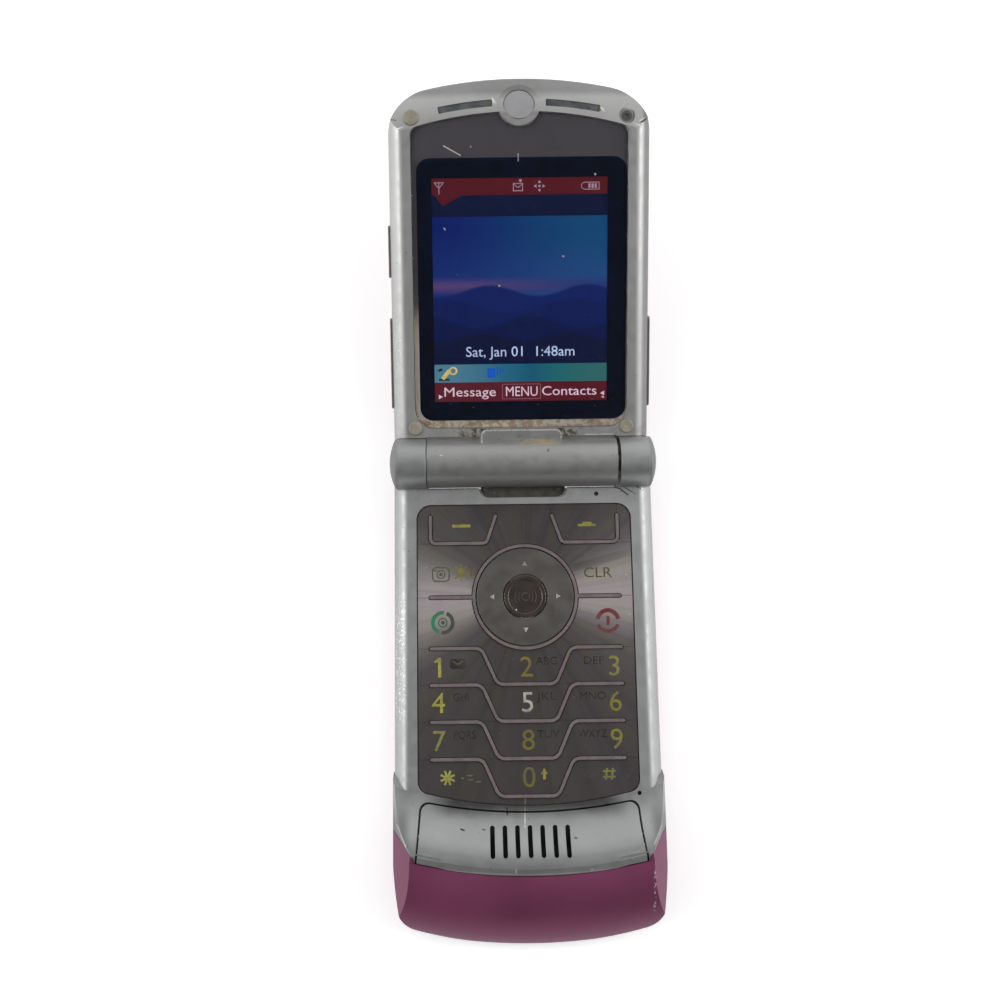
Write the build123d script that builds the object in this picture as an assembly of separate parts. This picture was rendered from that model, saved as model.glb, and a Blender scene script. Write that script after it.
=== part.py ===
from build123d import *
import os
from math import sqrt

# A clamshell phone, open and lying on its back. Millimetres, +Z up, +X to the user's right, the lid
# towards +Y. The origin is the centre of the flat back that lies on the desk. Base pieces are drawn
# with y = -(distance from the hinge axis) and z from the desk. Lid pieces are drawn lying flat, with
# y = distance from the hinge axis and z from that axis, and are then raised to the open angle.

# ---- driving dimensions -------------------------------------------------------------------------
CLOSED_LENGTH = 98.8      # hinge barrel to chin end
BODY_WIDTH = 53.0         # base, side to side
CLOSED_THICKNESS = 13.9   # over base and shut lid
OPEN_ANGLE = 162.0        # between keypad face and display face
BASE_THICKNESS = 7.0      # desk to keypad frame
CAP_RADIUS = 5.1          # hinge end caps
HINGE_WIDTH = 54.0        # over both domed caps
LID_WIDTH = 51.7
LID_PLAY = -0.25          # the lid sits this far off the middle, by the play in its hinge
LID_REACH = 75.9          # hinge axis to lid tip
SHUT_GAP = 0.6            # between the two inner faces, held by the bumpers

# ---- worked out from them -----------------------------------------------------------------------
HINGE_Y = 46.0
AXIS_Z = BASE_THICKNESS + SHUT_GAP / 2
LIFT = 180.0 - OPEN_ANGLE
BASE_HALF = BODY_WIDTH / 2
LID_HALF = LID_WIDTH / 2
BASE_REACH = CLOSED_LENGTH - CAP_RADIUS
LID_FACE = -SHUT_GAP / 2
LID_BACK = LID_FACE - (CLOSED_THICKNESS - BASE_THICKNESS - SHUT_GAP)

# ---- shells -------------------------------------------------------------------------------------
WALL = 1.2
DECK = 1.0                # keypad frame thickness
FLOOR = 0.9               # back wall and battery door
SEAM = 0.1                # shadow line between neighbouring covers
PLATE_SEAM = 0.24         # wider line round the chin plate
LIP = 0.6                 # step on which the chin plate lies
RAIL_RADIUS = 3.0         # rounded side rails
RAIL_INSET = 0.25         # the rails stand this far inside the chin
BACK_RADIUS = 2.2
FRONT_WALL = 8.0          # solid cross-member beside the hinge ends here
LID_START = 5.4           # the lid begins here behind the hinge barrel
DECK_START = 5.05         # and the base here
SADDLE_START = 2.5        # the base reaches this near the axis beside the caps
LID_SADDLE_START = 3.0    # and the lid this near
SADDLE_GAP = 0.15         # between a cap and the shells beside it
SPLIT_Z = 3.4             # front housing above, rear housing below
INNER_FLOOR_Z = 1.6
ARC_CENTRE = -16.3        # chin, keypad foot and ridge are arcs about this distance
CHIN_START = 68.0
CHIN_SIDE = ((26.65, 74.0), (26.25, 81.6), (25.4, 87.0))     # where the chin's sides draw in, (x, r)
CHIN_CORNER = ((25.4, 87.0), (24.35, 89.3), (22.2, 90.75))
CHIN_SPARE = 0.3          # the plan reaches this far past the nose, which shapes the middle
CHIN_FACET_Z = 6.15       # upright sides below, leaning facets above
CHIN_FACET_LEAN = 0.508   # how far a facet leans in for each millimetre that it rises
SHOULDER = ((22.0, 67.5), (26.8, 60.9), (26.8, 72.0), (22.0, 72.0))  # square stretch behind each rail
HORN = ((22.0, 76.9), (27.5, 70.6), (27.5, 82.0), (22.0, 82.0))      # the coloured cover reaches forward here
RIDGE = 78.7
RIDGE_Z = CLOSED_THICKNESS - 0.3
SEAM_TOP = 80.2           # silver meets the coloured cover here on the ridge
SEAM_FOOT = 76.0          # and here at the desk
DOOR_HALF = 23.9
DOOR_START = 11.0
DOOR_END = 74.9
SCREW_X = 22.9
SCREW_ROWS = (9.3, 63.0)
SCREW_HEAD = 1.25
SCREW_SHANK = 0.6
BOARD_HALF = 24.5

# ---- hinge --------------------------------------------------------------------------------------
BARREL_RADIUS = 4.9
BARREL_HALF = 19.1
CAP_START = 19.5
CAP_DOME = 1.2            # height of the dome on a cap's end
PIN_RADIUS = 1.8
RUN_CLEARANCE = 0.05
CARTRIDGE_RADIUS = 3.6

# ---- keypad stack, z from the desk --------------------------------------------------------------
BOARD_Z = 4.6
BOARD_TOP = 5.4
DOME_RADIUS = 2.0
DOME_TOP = 5.6
GUIDE_Z = 5.8
GUIDE_TOP = 6.0
GUIDE_LEDGE = 0.6         # the guide reaches this far under the keypad frame
NUB_Z = 6.0
KEY_Z = 6.45
KEY_TOP = 6.75
RIB_TOP = 6.98
NUB_RADIUS = 1.0
NUB_HOLE = 1.3

# ---- keypad plan, distances from the hinge axis -------------------------------------------------
PAD_HALF = 21.65
PAD_START = 8.4
PAD_END = 67.7
PAD_CORNER = 2.5
RIB = 0.62                # translucent ribs between the keys
SLIT = 0.96               # openings that the ribs stand in
HAIR = 0.05               # cut between keys where no rib runs
ROW_FIRST = 37.3
ROW_PITCH = 7.17
ROW_DROP = 7.1
RIB_END = 18.85
STEP_TOP_X = 8.9
STEP_FOOT_X = 5.75
RIB_BEND = 1.9
SOFT_BEND = 1.1
PAD_GAP = 0.2             # dark line round the keypad metal
FOOT_STRIP_X = 6.3
SOFT_TOP = 10.85
SOFT_FOOT = 16.3
SOFT_IN_TOP = 5.7
SOFT_IN_FOOT = 7.6
NAV_R = 27.15
NAV_RING = 9.7
NAV_RIB_IN = 9.95
NAV_RIB_OUT = 10.54
NAV_HOLE = 4.5
NAV_PRESS_RADIUS = 7.0
SELECT_RADIUS = 4.15
SELECT_DISH = 3.4
COLUMN = 15.0             # key columns left and right of the middle
ROWS = [ROW_FIRST + ROW_PITCH * row for row in range(4)]
PRESS_SPOTS = {
    "soft_key_left": (-12.65, 12.8),
    "soft_key_right": (12.65, 12.8),
    "camera_key": (-COLUMN, 21.6),
    "clear_key": (COLUMN, 21.6),
    "send_key": (-COLUMN, 32.2),
    "end_key": (COLUMN, 32.2),
}
KEY_NAMES = (("1", "2", "3"), ("4", "5", "6"), ("7", "8", "9"), ("star", "0", "hash"))
for row_start, names in zip(ROWS, KEY_NAMES):
    for column, name in zip((-COLUMN, 0, COLUMN), names):
        PRESS_SPOTS[f"key_{name}"] = (column, row_start + 3.6)

# ---- lid ----------------------------------------------------------------------------------------
LID_ARC_CENTRE = -14.1
LID_CORNER = 10.0
COVER_Z = -4.7            # bezel above, outer cover below
SLOPE_START = 68.6        # the inner face falls away to the tip from here
LENS_HALF = 21.4
LENS_START = 7.15
LENS_END = 68.9
LENS_ARC_CENTRE = -9.1
LENS_SEAT = -1.2
LENS_TOP = -0.38
PANEL_BACK = -3.2
LID_BOARD_BACK = -4.0
LID_BOARD_END = 60.5
EMBLEM_V = 70.3
EMBLEM_Z = -1.1
EMBLEM_TILT = 18.0
EMBLEM_RADIUS = 3.0
EMBLEM_RING = 4.1
EAR_ARC = 84.9            # earpiece slots lie on this arc about the lid's arc centre
EAR_SLOT = 1.4            # their height
EAR_SPAN = (3.55, 7.2)    # degrees from the middle to a slot, and its sweep
TOP_BUMPER = (21.15, 68.0, 1.6)
FOOT_BUMPER = (21.4, 7.23, 1.4)
BUMPER_SEAT = -1.65
TAB_HALF = 8.1
TAB_END = 6.87
TAB_TOP = 1.0
SIDE_KEY_Z = -3.6
SIDE_KEY_HEIGHT = 1.7
SIDE_KEY_OUT = LID_HALF + 0.4
SMART_SPAN = (37.4, 47.7)
VOLUME_SPAN = (11.1, 29.4)
VOICE_SPAN = (11.1, 29.2)
OUTER_LENS = (14.0, 25.0, 47.0)
CAMERA_V = 14.5
CAMERA_RADIUS = 3.6


def box(x0, x1, y0, y1, z0, z1):
    """A block between two corners."""
    return Pos((x0 + x1) / 2, (y0 + y1) / 2, (z0 + z1) / 2) * Box(x1 - x0, y1 - y0, z1 - z0)


def base_box(half, r0, r1, z0, z1):
    """A block of the base, across the middle, from r0 to r1 behind the hinge axis."""
    return box(-half, half, -r1, -r0, z0, z1)


def rod(radius, x0, x1, y=0.0, z=0.0):
    """A round bar along X."""
    return Pos((x0 + x1) / 2, y, z) * Rot(0, 90, 0) * Cylinder(radius, x1 - x0)


def post(radius, x, y, z0, z1):
    """A round bar along Z."""
    return Pos(x, y, (z0 + z1) / 2) * Cylinder(radius, z1 - z0)


def slab(face, z0, z1):
    """A plan face given thickness from z0 to z1."""
    return Pos(0, 0, z0) * extrude(face, z1 - z0, dir=(0, 0, 1))


def join(pieces):
    """All pieces as one shape."""
    whole = pieces[0]
    for piece in pieces[1:]:
        whole = whole + piece
    return whole


def settle(shape):
    """Puts a base piece in its place on the desk."""
    return Pos(0, HINGE_Y, 0) * shape


def raise_lid(shape):
    """Puts a lid piece in its place, at the open angle."""
    return Pos(LID_PLAY, HINGE_Y, AXIS_Z) * Rot(LIFT, 0, 0) * shape


def save(name, shape):
    """Writes one sub-part."""
    export_step(shape, f"parts/{name}.step")


# ---- outlines -----------------------------------------------------------------------------------
def rounded_end(half, start, end, arc_centre, corner, way):
    """Plan with straight sides and a curved far end. way is +1 or -1 along Y."""
    big = end - arc_centre
    cx = half - corner
    cy = arc_centre + sqrt((big - corner) ** 2 - cx ** 2)
    stretch = big / (big - corner)
    tx = cx * stretch
    ty = arc_centre + (cy - arc_centre) * stretch
    mx = (half + tx) / 2 - cx
    my = (cy + ty) / 2 - cy
    to_arc = corner / sqrt(mx ** 2 + my ** 2)
    bend = [(half, cy), (cx + mx * to_arc, cy + my * to_arc), (tx, ty)]
    edges = [
        Line((half, start * way), (half, cy * way)),
        ThreePointArc(*[(x, y * way) for x, y in bend]),
        ThreePointArc((tx, ty * way), (0, end * way), (-tx, ty * way)),
        ThreePointArc(*[(-x, y * way) for x, y in reversed(bend)]),
        Line((-half, cy * way), (-half, start * way)),
        Line((-half, start * way), (half, start * way)),
    ]
    return make_face(edges)


def start_corners(face, way):
    """The two corners at the straight end of such a plan."""
    return face.vertices().group_by(Axis.Y)[0 if way > 0 else -1]


def along(section, y0, y1):
    """A bar along Y from its cross-section, drawn with x across and y up."""
    plane = Plane(origin=(0, y0, 0), x_dir=(1, 0, 0), z_dir=(0, -1, 0))
    return extrude(plane * section, y1 - y0, dir=(0, 1, 0))


def side_prism(half, z0, z1, foot_radius, top_radius, y0, y1):
    """A bar along Y with rounded long edges, used to round the sides of a shell."""
    face = Pos(0, (z0 + z1) / 2) * Rectangle(2 * half, z1 - z0)
    face = fillet(face.vertices().group_by(Axis.Y)[0], foot_radius)
    face = fillet(face.vertices().group_by(Axis.Y)[-1], top_radius)
    return along(face, y0, y1)


def swing(profile, centre, way):
    """Turns a side profile about an upright axis, so that it follows the curved end."""
    edges = []
    for points in profile:
        points = [(0, r * way, z) for r, z in points]
        edges.append(Line(*points) if len(points) == 2 else ThreePointArc(*points))
    axis = Axis((0, centre * way, 0), (0, 0, 1))
    span = 44
    return revolve(make_face(edges).rotate(axis, -span / 2), axis, span)


# ---- base shells --------------------------------------------------------------------------------
def chin_profile(w):
    """Side profile of the chin, w inside the outer skin."""
    foot = w * FLOOR / WALL
    end = BASE_REACH - w
    crest = (RIDGE - w * 0.35, RIDGE_Z - w)
    brow = (SEAM_TOP - w * 0.35, RIDGE_Z - 0.65 - w)
    sole = (90.8 - 0.3 * w, foot)
    nose = (end, 4.2)
    return [
        [(CHIN_START, BASE_THICKNESS - w), (74.2 + 0.3 * w, 8.75 - w), crest],
        [crest, brow],
        [brow, (89.3 - 0.7 * w, 10.0 - 0.7 * w), nose],
        [nose, (93.0 - 0.8 * w, 1.5 + 0.8 * w), sole],
        [sole, (CHIN_START, foot)],
        [(CHIN_START, foot), (CHIN_START, BASE_THICKNESS - w)],
    ]


def chin_plan(w):
    """Plan of the chin, w inside the skin: sides that draw in, tight corners and a curved end."""
    side = [(x - w, -r + 0.2 * w) for x, r in CHIN_SIDE]
    corner = [side[-1]] + [(x - 0.7 * w, -r + 0.8 * w) for x, r in CHIN_CORNER[1:]]
    edges = []
    for way in (1, -1):
        edges.append(Line((way * side[0][0], -20), (way * side[0][0], side[0][1])))
        for points in (side, corner):
            edges.append(ThreePointArc(*[(way * x, y) for x, y in points]))
    x, y = corner[-1]
    edges.append(ThreePointArc((x, y), (0, -BASE_REACH - CHIN_SPARE + w), (-x, y)))
    edges.append(Line((side[0][0], -20), (-side[0][0], -20)))
    return make_face(edges)


def chin_sides(w):
    """A bar along Y with the chin's cross-section: round foot, upright sides and leaning facets."""
    foot = w * FLOOR / WALL
    half = BASE_HALF - w
    top = 18
    brow = half - CHIN_FACET_LEAN * (top - CHIN_FACET_Z)
    face = make_face(Polyline((-half, foot), (half, foot), (half, CHIN_FACET_Z), (brow, top), (-brow, top),
                              (-half, CHIN_FACET_Z), (-half, foot)))
    face = fillet(face.vertices().group_by(Axis.Y)[0], BACK_RADIUS - 0.6 * w)
    return along(face, -100, 0)


def both_sides(points, shift):
    """A plan shape at the right and its mirror image, shift behind where its points say."""
    plan = make_face(Polyline(*[(x, -r - shift) for x, r in points + points[:1]]))
    return plan + mirror(plan, Plane.YZ)


def base_form(w=0.0):
    """The base's outer form, or its inside at w below the skin."""
    foot = w * FLOOR / WALL
    top = BASE_THICKNESS - w * DECK / WALL
    body = side_prism(BASE_HALF - RAIL_INSET - w, foot, top, BACK_RADIUS - 0.6 * w, RAIL_RADIUS - w,
                      -(CHIN_START + 7), -(SADDLE_START + w))
    chin = swing(chin_profile(w), ARC_CENTRE, -1) + slab(both_sides(SHOULDER, 1.3 * w), foot, top)
    chin &= chin_sides(w)
    chin &= slab(chin_plan(w), 0, 20)
    return body + chin


def chin_end(shift):
    """Everything behind the seam between silver chin and coloured cover."""
    lean = (SEAM_TOP - SEAM_FOOT) / RIDGE_Z
    low = (SEAM_FOOT + shift - 2 * lean, -2)
    high = (SEAM_FOOT + shift + 18 * lean, 18)
    end = swing([[low, high], [high, (110, 18)], [(110, 18), (110, -2)], [(110, -2), low]], ARC_CENTRE, -1)
    return end + slab(both_sides(HORN, shift), SPLIT_Z + SEAM / 2 + shift, 18)


def chin_plate_plan(grow):
    """Plan of the silver plate on the chin."""
    top_x, foot_x, foot_r = 21.15 + grow, 22.2 + grow, 82
    top_r = 66.6 - grow
    outline = [
        ThreePointArc((-top_x, -top_r), (0, -68.8 + grow), (top_x, -top_r)),
        Line((top_x, -top_r), (foot_x, -foot_r)),
        Line((foot_x, -foot_r), (-foot_x, -foot_r)),
        Line((-foot_x, -foot_r), (-top_x, -top_r)),
    ]
    face = make_face(outline)
    return fillet(face.vertices().group_by(Axis.Y)[-1], 1.7)


def door_plan(grow):
    """Plan of the battery door."""
    plan = rounded_end(DOOR_HALF + grow, DOOR_START - grow, DOOR_END + grow, ARC_CENTRE, 2 + grow, -1)
    return fillet(start_corners(plan, -1), 3 + grow)


def screw_spots():
    """Plan places of the base screws."""
    return [(side * SCREW_X, -row) for side in (-1, 1) for row in SCREW_ROWS]


def screw_head(y):
    """Level of a base screw's head: sunk in the back beside the hinge, on the inner floor elsewhere."""
    return 0.1 if y > -DOOR_START else FLOOR + 0.1


def screw_bores():
    """Room for the base screws, open below their heads."""
    bores = []
    for x, y in screw_spots():
        head = screw_head(y)
        bores.append(post(SCREW_HEAD, x, y, -1, head + 0.7) + post(SCREW_SHANK, x, y, head, 5.9))
    return join(bores)


def base_screws():
    """Four screws put in from the back: two beside the hinge and two under the battery door."""
    pieces = []
    for x, y in screw_spots():
        head = screw_head(y)
        screw = post(SCREW_HEAD, x, y, head, head + 0.7) + post(SCREW_SHANK, x, y, head + 0.7, 5.9)
        pieces.append(screw - Pos(x, y, head) * extrude(RegularPolygon(0.55, 6), 0.4))
    return pieces


def socket_window(grow, depth):
    """The opening for the charging plug in the left side, depth deep."""
    return box(-30, -BASE_HALF + depth, -29.6 - grow, -22.4 + grow, 1.75 - grow, 4.35 + grow)


def cap_saddle(gap, z):
    """Room for the two hinge caps, about an axis at height z."""
    right = rod(CAP_RADIUS + gap, CAP_START - SADDLE_GAP, 30, 0, z)
    return right + rod(CAP_RADIUS + gap, -30, SADDLE_GAP - CAP_START, 0, z)


def base_shells():
    """Front housing, rear housing, chin plate, coloured chin cover and battery door."""
    skin = base_form()
    hollow = base_form(WALL) - base_box(30, 0, FRONT_WALL, -1, 20)
    barrel_room = base_box(CAP_START - SADDLE_GAP, -1, DECK_START, -1, 20)
    shell = skin - hollow - barrel_room - cap_saddle(0, AXIS_Z) - chin_end(-SEAM / 2)
    shell -= socket_window(0.1, WALL + 1)

    step = skin - base_form(LIP)
    plate_room = slab(chin_plate_plan(PLATE_SEAM / 2), 5, 20)
    plate = (step & slab(chin_plate_plan(-PLATE_SEAM / 2), 5, 20)) - chin_end(-SEAM / 2)
    for number in range(7):
        slot = Pos((number - 3) * 2.42, -74.15) * SlotOverall(5.7, 0.9, rotation=90)
        plate -= slab(slot, 5, 16)

    front = shell & base_box(30, 0, 100, SPLIT_Z, 20)
    front -= slab(pad_outline(), DECK, 10) & base_box(30, FRONT_WALL, 100, KEY_Z - 1, 20)
    front -= (step & plate_room) + slab(chin_plate_plan(-1.0), 5, 20)
    tab_room = Pos(0, -5.2) * RectangleRounded(2 * 8.9, 4, 1.9)
    front -= slab(tab_room, 5.9, 8)
    front -= slab(pad_outline(GUIDE_LEDGE), GUIDE_Z, GUIDE_TOP)
    front -= charging_socket_block(0.02)
    front -= post(0.45, 14.8, -6.5, 5.5, 8)
    front -= post(0.4, 21.45, -65.55, 5, 8)
    for x, y in screw_spots():
        front += post(1.15, x, y, BOARD_TOP, GUIDE_TOP + 0.1)

    rear = shell & base_box(30, 0, 100, -1, SPLIT_Z)
    inner_floor = base_box(BASE_HALF - WALL + 0.1, FRONT_WALL - 0.1, SEAM_FOOT - 0.2, FLOOR, INNER_FLOOR_Z)
    rear += inner_floor - chin_end(-SEAM / 2)
    bay = base_box(17.45, 19.6, 66.0, -1, BOARD_Z)
    rear += base_box(18.25, 18.8, 66.8, FLOOR, BOARD_Z)
    rear -= bay
    rear -= base_box(5.2, 17.5, 19.7, 2, BOARD_Z + 0.1)
    for x, y in screw_spots():
        rear += post(1.9, x, y, FLOOR, BOARD_Z) & base_box(BASE_HALF - 0.6, FRONT_WALL, 80, 0, 10)
    rear -= slab(door_plan(SEAM), -1, FLOOR)
    latch_room = base_box(5.7, 6.0, DOOR_START, -1, FLOOR)
    rear -= latch_room
    rear -= charging_socket_block(0.02)

    cover = (skin - hollow) & chin_end(SEAM / 2)

    door = slab(door_plan(0), 0, FLOOR)
    door -= base_box(4.3, DOOR_START - 1, DOOR_START + 0.9, 0.4, FLOOR + 0.1)

    return {
        "base_front_housing": front - screw_bores(),
        "base_rear_housing": rear - screw_bores(),
        "chin_front_cover": plate,
        "antenna_cover": cover,
        "battery_door": door,
    }


def door_latch():
    """Sliding catch beside the battery door, with finger ribs and a tongue that enters the door."""
    latch = base_box(5.5, 7.35, DOOR_START - 0.2, 0.05, FLOOR - 0.05)
    latch += base_box(4, DOOR_START - 0.3, DOOR_START + 0.6, 0.5, FLOOR - 0.05)
    for number in range(3):
        r = 8.0 + number * 0.9
        latch -= base_box(4, r, r + 0.4, 0, 0.25)
    return latch


# ---- base electronics ---------------------------------------------------------------------------
def charging_socket_block(grow):
    """Outer block of the charging socket."""
    mouth = 0.3 + RAIL_INSET - BASE_HALF
    return box(mouth, -18.7 + grow, -30 - grow, -22 + grow, INNER_FLOOR_Z - grow, BOARD_Z + grow)


def charging_socket():
    """Five-pin socket with its tongue, open at the left side."""
    socket = charging_socket_block(0)
    socket -= box(-30, -20.5, -29.5, -22.5, 1.95, 4.25)
    return socket + box(-25.5, -20.4, -28.4, -23.6, 2.8, 3.3)


def circuit_board():
    """Main board with screw holes, battery contacts, chips and the hinge connector."""
    board = slab(rounded_end(BOARD_HALF, 8.2, 66.9, ARC_CENTRE, 3, -1), BOARD_Z, BOARD_TOP)
    board += base_box(5, 17.7, 19.55, 2.1, BOARD_Z)
    for x in (-3.4, 0, 3.4):
        board += box(x - 0.5, x + 0.5, -19.75, -19.5, 2.4, 3.8)
    board += box(-16, -9, -16, -9.5, 3.5, BOARD_Z)
    board += box(-6, 4, -13.5, -8.8, 3.8, BOARD_Z)
    for x, y in screw_spots():
        board -= post(1.25, x, y, 4, 6)
    return board


def battery_pack():
    """Slim battery with rounded long edges."""
    pack = base_box(17.25, 19.85, 65.8, 1.1, 4.5)
    return fillet(pack.edges().filter_by(Axis.Y), 1.2)


def vibration_motor():
    """Cylindrical motor can."""
    return rod(1.45, 7, 15.5, -14, 3.12) - rod(0.4, 14, 16, -14, 3.12)


def vibration_weight():
    """Off-centre weight on its shaft."""
    weight = rod(1.35, 16.2, 19.6, -14, 3.12) - box(16, 19.7, -14, -12, 1, 6)
    return weight + rod(0.35, 14.2, 19.6, -14, 3.12)


def loudspeaker():
    """Loudspeaker behind the chin slots."""
    speaker = Pos(0, -75.0) * RectangleRounded(16.5, 6.4, 2)
    return slab(speaker, 2.6, 6.3) + slab(Pos(0, -75.0) * RectangleRounded(13, 4.4, 1.6), 6.3, 6.7)


def antenna_element():
    """Antenna carrier that fills the coloured chin cover."""
    room = base_form(WALL) & chin_end(2.2)
    return room & base_box(20, 70, 100, 1.5, 8.5)


# ---- keypad -------------------------------------------------------------------------------------
def pad_outline(grow=0.0):
    """The keypad opening in plan: straight sides, round corners and a foot that follows the chin."""
    face = rounded_end(PAD_HALF + grow, PAD_START - grow, PAD_END + grow, ARC_CENTRE, PAD_CORNER + grow, -1)
    return fillet(start_corners(face, -1), 3 + grow)


def plan_line(points, bend=0.0):
    """An open line through plan points given as (x, distance from the hinge axis)."""
    points = [(x, -r) for x, r in points]
    return FilletPolyline(*points, radius=bend) if bend else Polyline(*points)


def broad(line, width):
    """A plan line given width, with round ends."""
    return trace(line, width) + Pos(line @ 0) * Circle(width / 2) + Pos(line @ 1) * Circle(width / 2)


def rib_lines():
    """Centre lines of the ribs, apart from the round one."""
    lines = []
    for start in ROWS:
        foot = start + ROW_DROP
        lines.append(plan_line([(-RIB_END, start), (-STEP_TOP_X, start), (-STEP_FOOT_X, foot),
                                (STEP_FOOT_X, foot), (STEP_TOP_X, start), (RIB_END, start)], RIB_BEND))
    for side in (-1, 1):
        lines.append(plan_line([(side * RIB_END, SOFT_TOP), (side * RIB_END, SOFT_FOOT),
                                (side * SOFT_IN_FOOT, SOFT_FOOT), (side * SOFT_IN_TOP, SOFT_TOP)], SOFT_BEND))
        lines.append(plan_line([(side * NAV_RIB_OUT, NAV_R), (side * RIB_END, NAV_R)]))
    return lines


def hair_lines():
    """Cuts that carry the rib lines on, so that each key comes free."""
    edge = PAD_HALF + 1
    lines = []
    for side in (-1, 1):
        for start in ROWS:
            lines.append([(side * (RIB_END - 0.2), start), (side * edge, start)])
        for start in ROWS[1:]:
            lines.append([(side * (STEP_FOOT_X - 1), start - 0.05), (side * (STEP_TOP_X + 1), start - 0.05)])
        lines.append([(side * (RIB_END - 0.2), NAV_R), (side * edge, NAV_R)])
        lines.append([(side * RIB_END, SOFT_TOP + 0.2), (side * RIB_END, PAD_START - 1)])
        lines.append([(side * (SOFT_IN_TOP + 0.1), SOFT_TOP + 0.2), (side * 4.8, PAD_START - 1)])
        lines.append([(side * (RIB_END - 1.5), SOFT_FOOT), (side * edge, SOFT_FOOT)])
        lines.append([(side * (SOFT_IN_FOOT + 0.6), SOFT_FOOT - 0.3), (side * 5.9, 18.8)])
        lines.append([(side * (STEP_TOP_X + 0.3), ROW_FIRST + 0.3), (side * 6.8, 34.9)])
        lines.append([(side * (STEP_FOOT_X - 0.4), ROWS[3] + ROW_DROP - 0.6), (side * FOOT_STRIP_X, PAD_END + 1)])
    return [plan_line(points) for points in lines]


def nav_disc(radius):
    """A round plan about the middle of the navigation ring."""
    return Pos(0, -NAV_R) * Circle(radius)


def key_plates():
    """The keypad metal cut into its plates, all in one plan."""
    sheet = pad_outline(-PAD_GAP) - nav_disc(NAV_RIB_OUT + (SLIT - RIB) / 2)
    for line in rib_lines():
        sheet -= broad(line, SLIT)
    for line in hair_lines():
        sheet -= trace(line, HAIR)
    return sheet.faces()


def plate_at(plates, spot):
    """The plate that covers a plan spot given as (x, distance from the hinge axis)."""
    x, r = spot
    return next(plate for plate in plates if plate.is_inside(Vector(x, -r, 0)))


def key(plate, spot):
    """One key: its metal plate and the nub that presses its dome."""
    x, r = spot
    return slab(plate, KEY_Z, KEY_TOP) + post(NUB_RADIUS, x, -r, NUB_Z, KEY_Z)


def keypad_sheet(plates):
    """The fixed stretches of the keypad metal, on feet that stand on the light guide."""
    pieces = []
    for spot, foot in (((-20.4, 12), 0.7), ((20.4, 12), 0.7), ((0, 11), 1.5), ((0, 66.95), 0.35)):
        piece = slab(plate_at(plates, spot), KEY_Z, KEY_TOP)
        pieces.append(piece + post(foot, spot[0], -spot[1], GUIDE_TOP, KEY_Z))
    return pieces


def light_guide():
    """Translucent sheet whose ribs stand up between the keys."""
    guide = slab(pad_outline(GUIDE_LEDGE), GUIDE_Z, GUIDE_TOP)
    ribs = join([broad(line, RIB) for line in rib_lines()])
    ribs += nav_disc(NAV_RIB_OUT) - nav_disc(NAV_RIB_IN)
    guide += slab(ribs, GUIDE_TOP, RIB_TOP)
    guide -= slab(nav_disc(9.0), 5, GUIDE_TOP)
    for x, r in PRESS_SPOTS.values():
        guide -= post(NUB_HOLE, x, -r, 5, GUIDE_TOP)
    for x, y in screw_spots():
        guide -= post(1.3, x, y, 5, 7)
    return guide - post(1.35, 21.45, -65.55, 5, 7)


def dome_sheet():
    """Film with a snap dome under every key."""
    film = slab(pad_outline(-0.2), BOARD_TOP, BOARD_TOP + 0.08)
    spots = list(PRESS_SPOTS.values())
    spots += [(NAV_PRESS_RADIUS * x, NAV_R + NAV_PRESS_RADIUS * y) for x, y in ((0, 0), (1, 0), (0, 1), (-1, 0), (0, -1))]
    for x, r in spots:
        film += post(DOME_RADIUS, x, -r, BOARD_TOP, DOME_TOP)
    return film - post(1.4, 21.45, -65.55, 5, 7)


def microphone():
    """Microphone on the board, under its hole."""
    return post(1.2, 21.45, -65.55, BOARD_TOP, 5.95)


def nav_actuator():
    """Small gimbal ring that carries the navigation ring."""
    return slab(nav_disc(5.6) - nav_disc(4.7), 6.1, 6.3)


def nav_ring():
    """Navigation ring with four pressing nubs and a shallow dish."""
    ring = slab(nav_disc(NAV_RING) - nav_disc(NAV_HOLE), 6.5, 6.85)
    for x, r in ((0, 1), (1, 0), (0, -1), (-1, 0)):
        ring += post(0.9, NAV_PRESS_RADIUS * x, -NAV_R - NAV_PRESS_RADIUS * r, 5.95, 6.5)
    return ring


def select_key():
    """Round middle key with a raised rim."""
    body = slab(nav_disc(SELECT_RADIUS), KEY_Z, 6.85)
    rim = slab(nav_disc(SELECT_RADIUS) - nav_disc(SELECT_DISH), 6.85, 7.05)
    return body + rim + post(NUB_RADIUS, 0, -NAV_R, NUB_Z, KEY_Z)


# ---- hinge --------------------------------------------------------------------------------------
def hinge_cap(side):
    """Domed end cap with a round pocket for its shaft. side is -1 for left, +1 for right."""
    dome_radius = (CAP_RADIUS ** 2 + CAP_DOME ** 2) / (2 * CAP_DOME)
    tip = HINGE_WIDTH / 2
    cap = rod(CAP_RADIUS, CAP_START, tip + 1) & Pos(tip - dome_radius, 0, 0) * Sphere(dome_radius)
    cap = fillet(cap.edges().group_by(Axis.X)[-1], 0.5)
    cap = Pos(0, 0, AXIS_Z) * (cap - rod(PIN_RADIUS, 19, 22))
    return cap if side > 0 else mirror(cap, Plane.YZ)


def hinge_shaft(start, end):
    """A steel shaft on the hinge axis."""
    shaft = rod(PIN_RADIUS, start, end, 0, AXIS_Z)
    return chamfer(shaft.edges().filter_by(GeomType.CIRCLE), 0.25)


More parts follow.
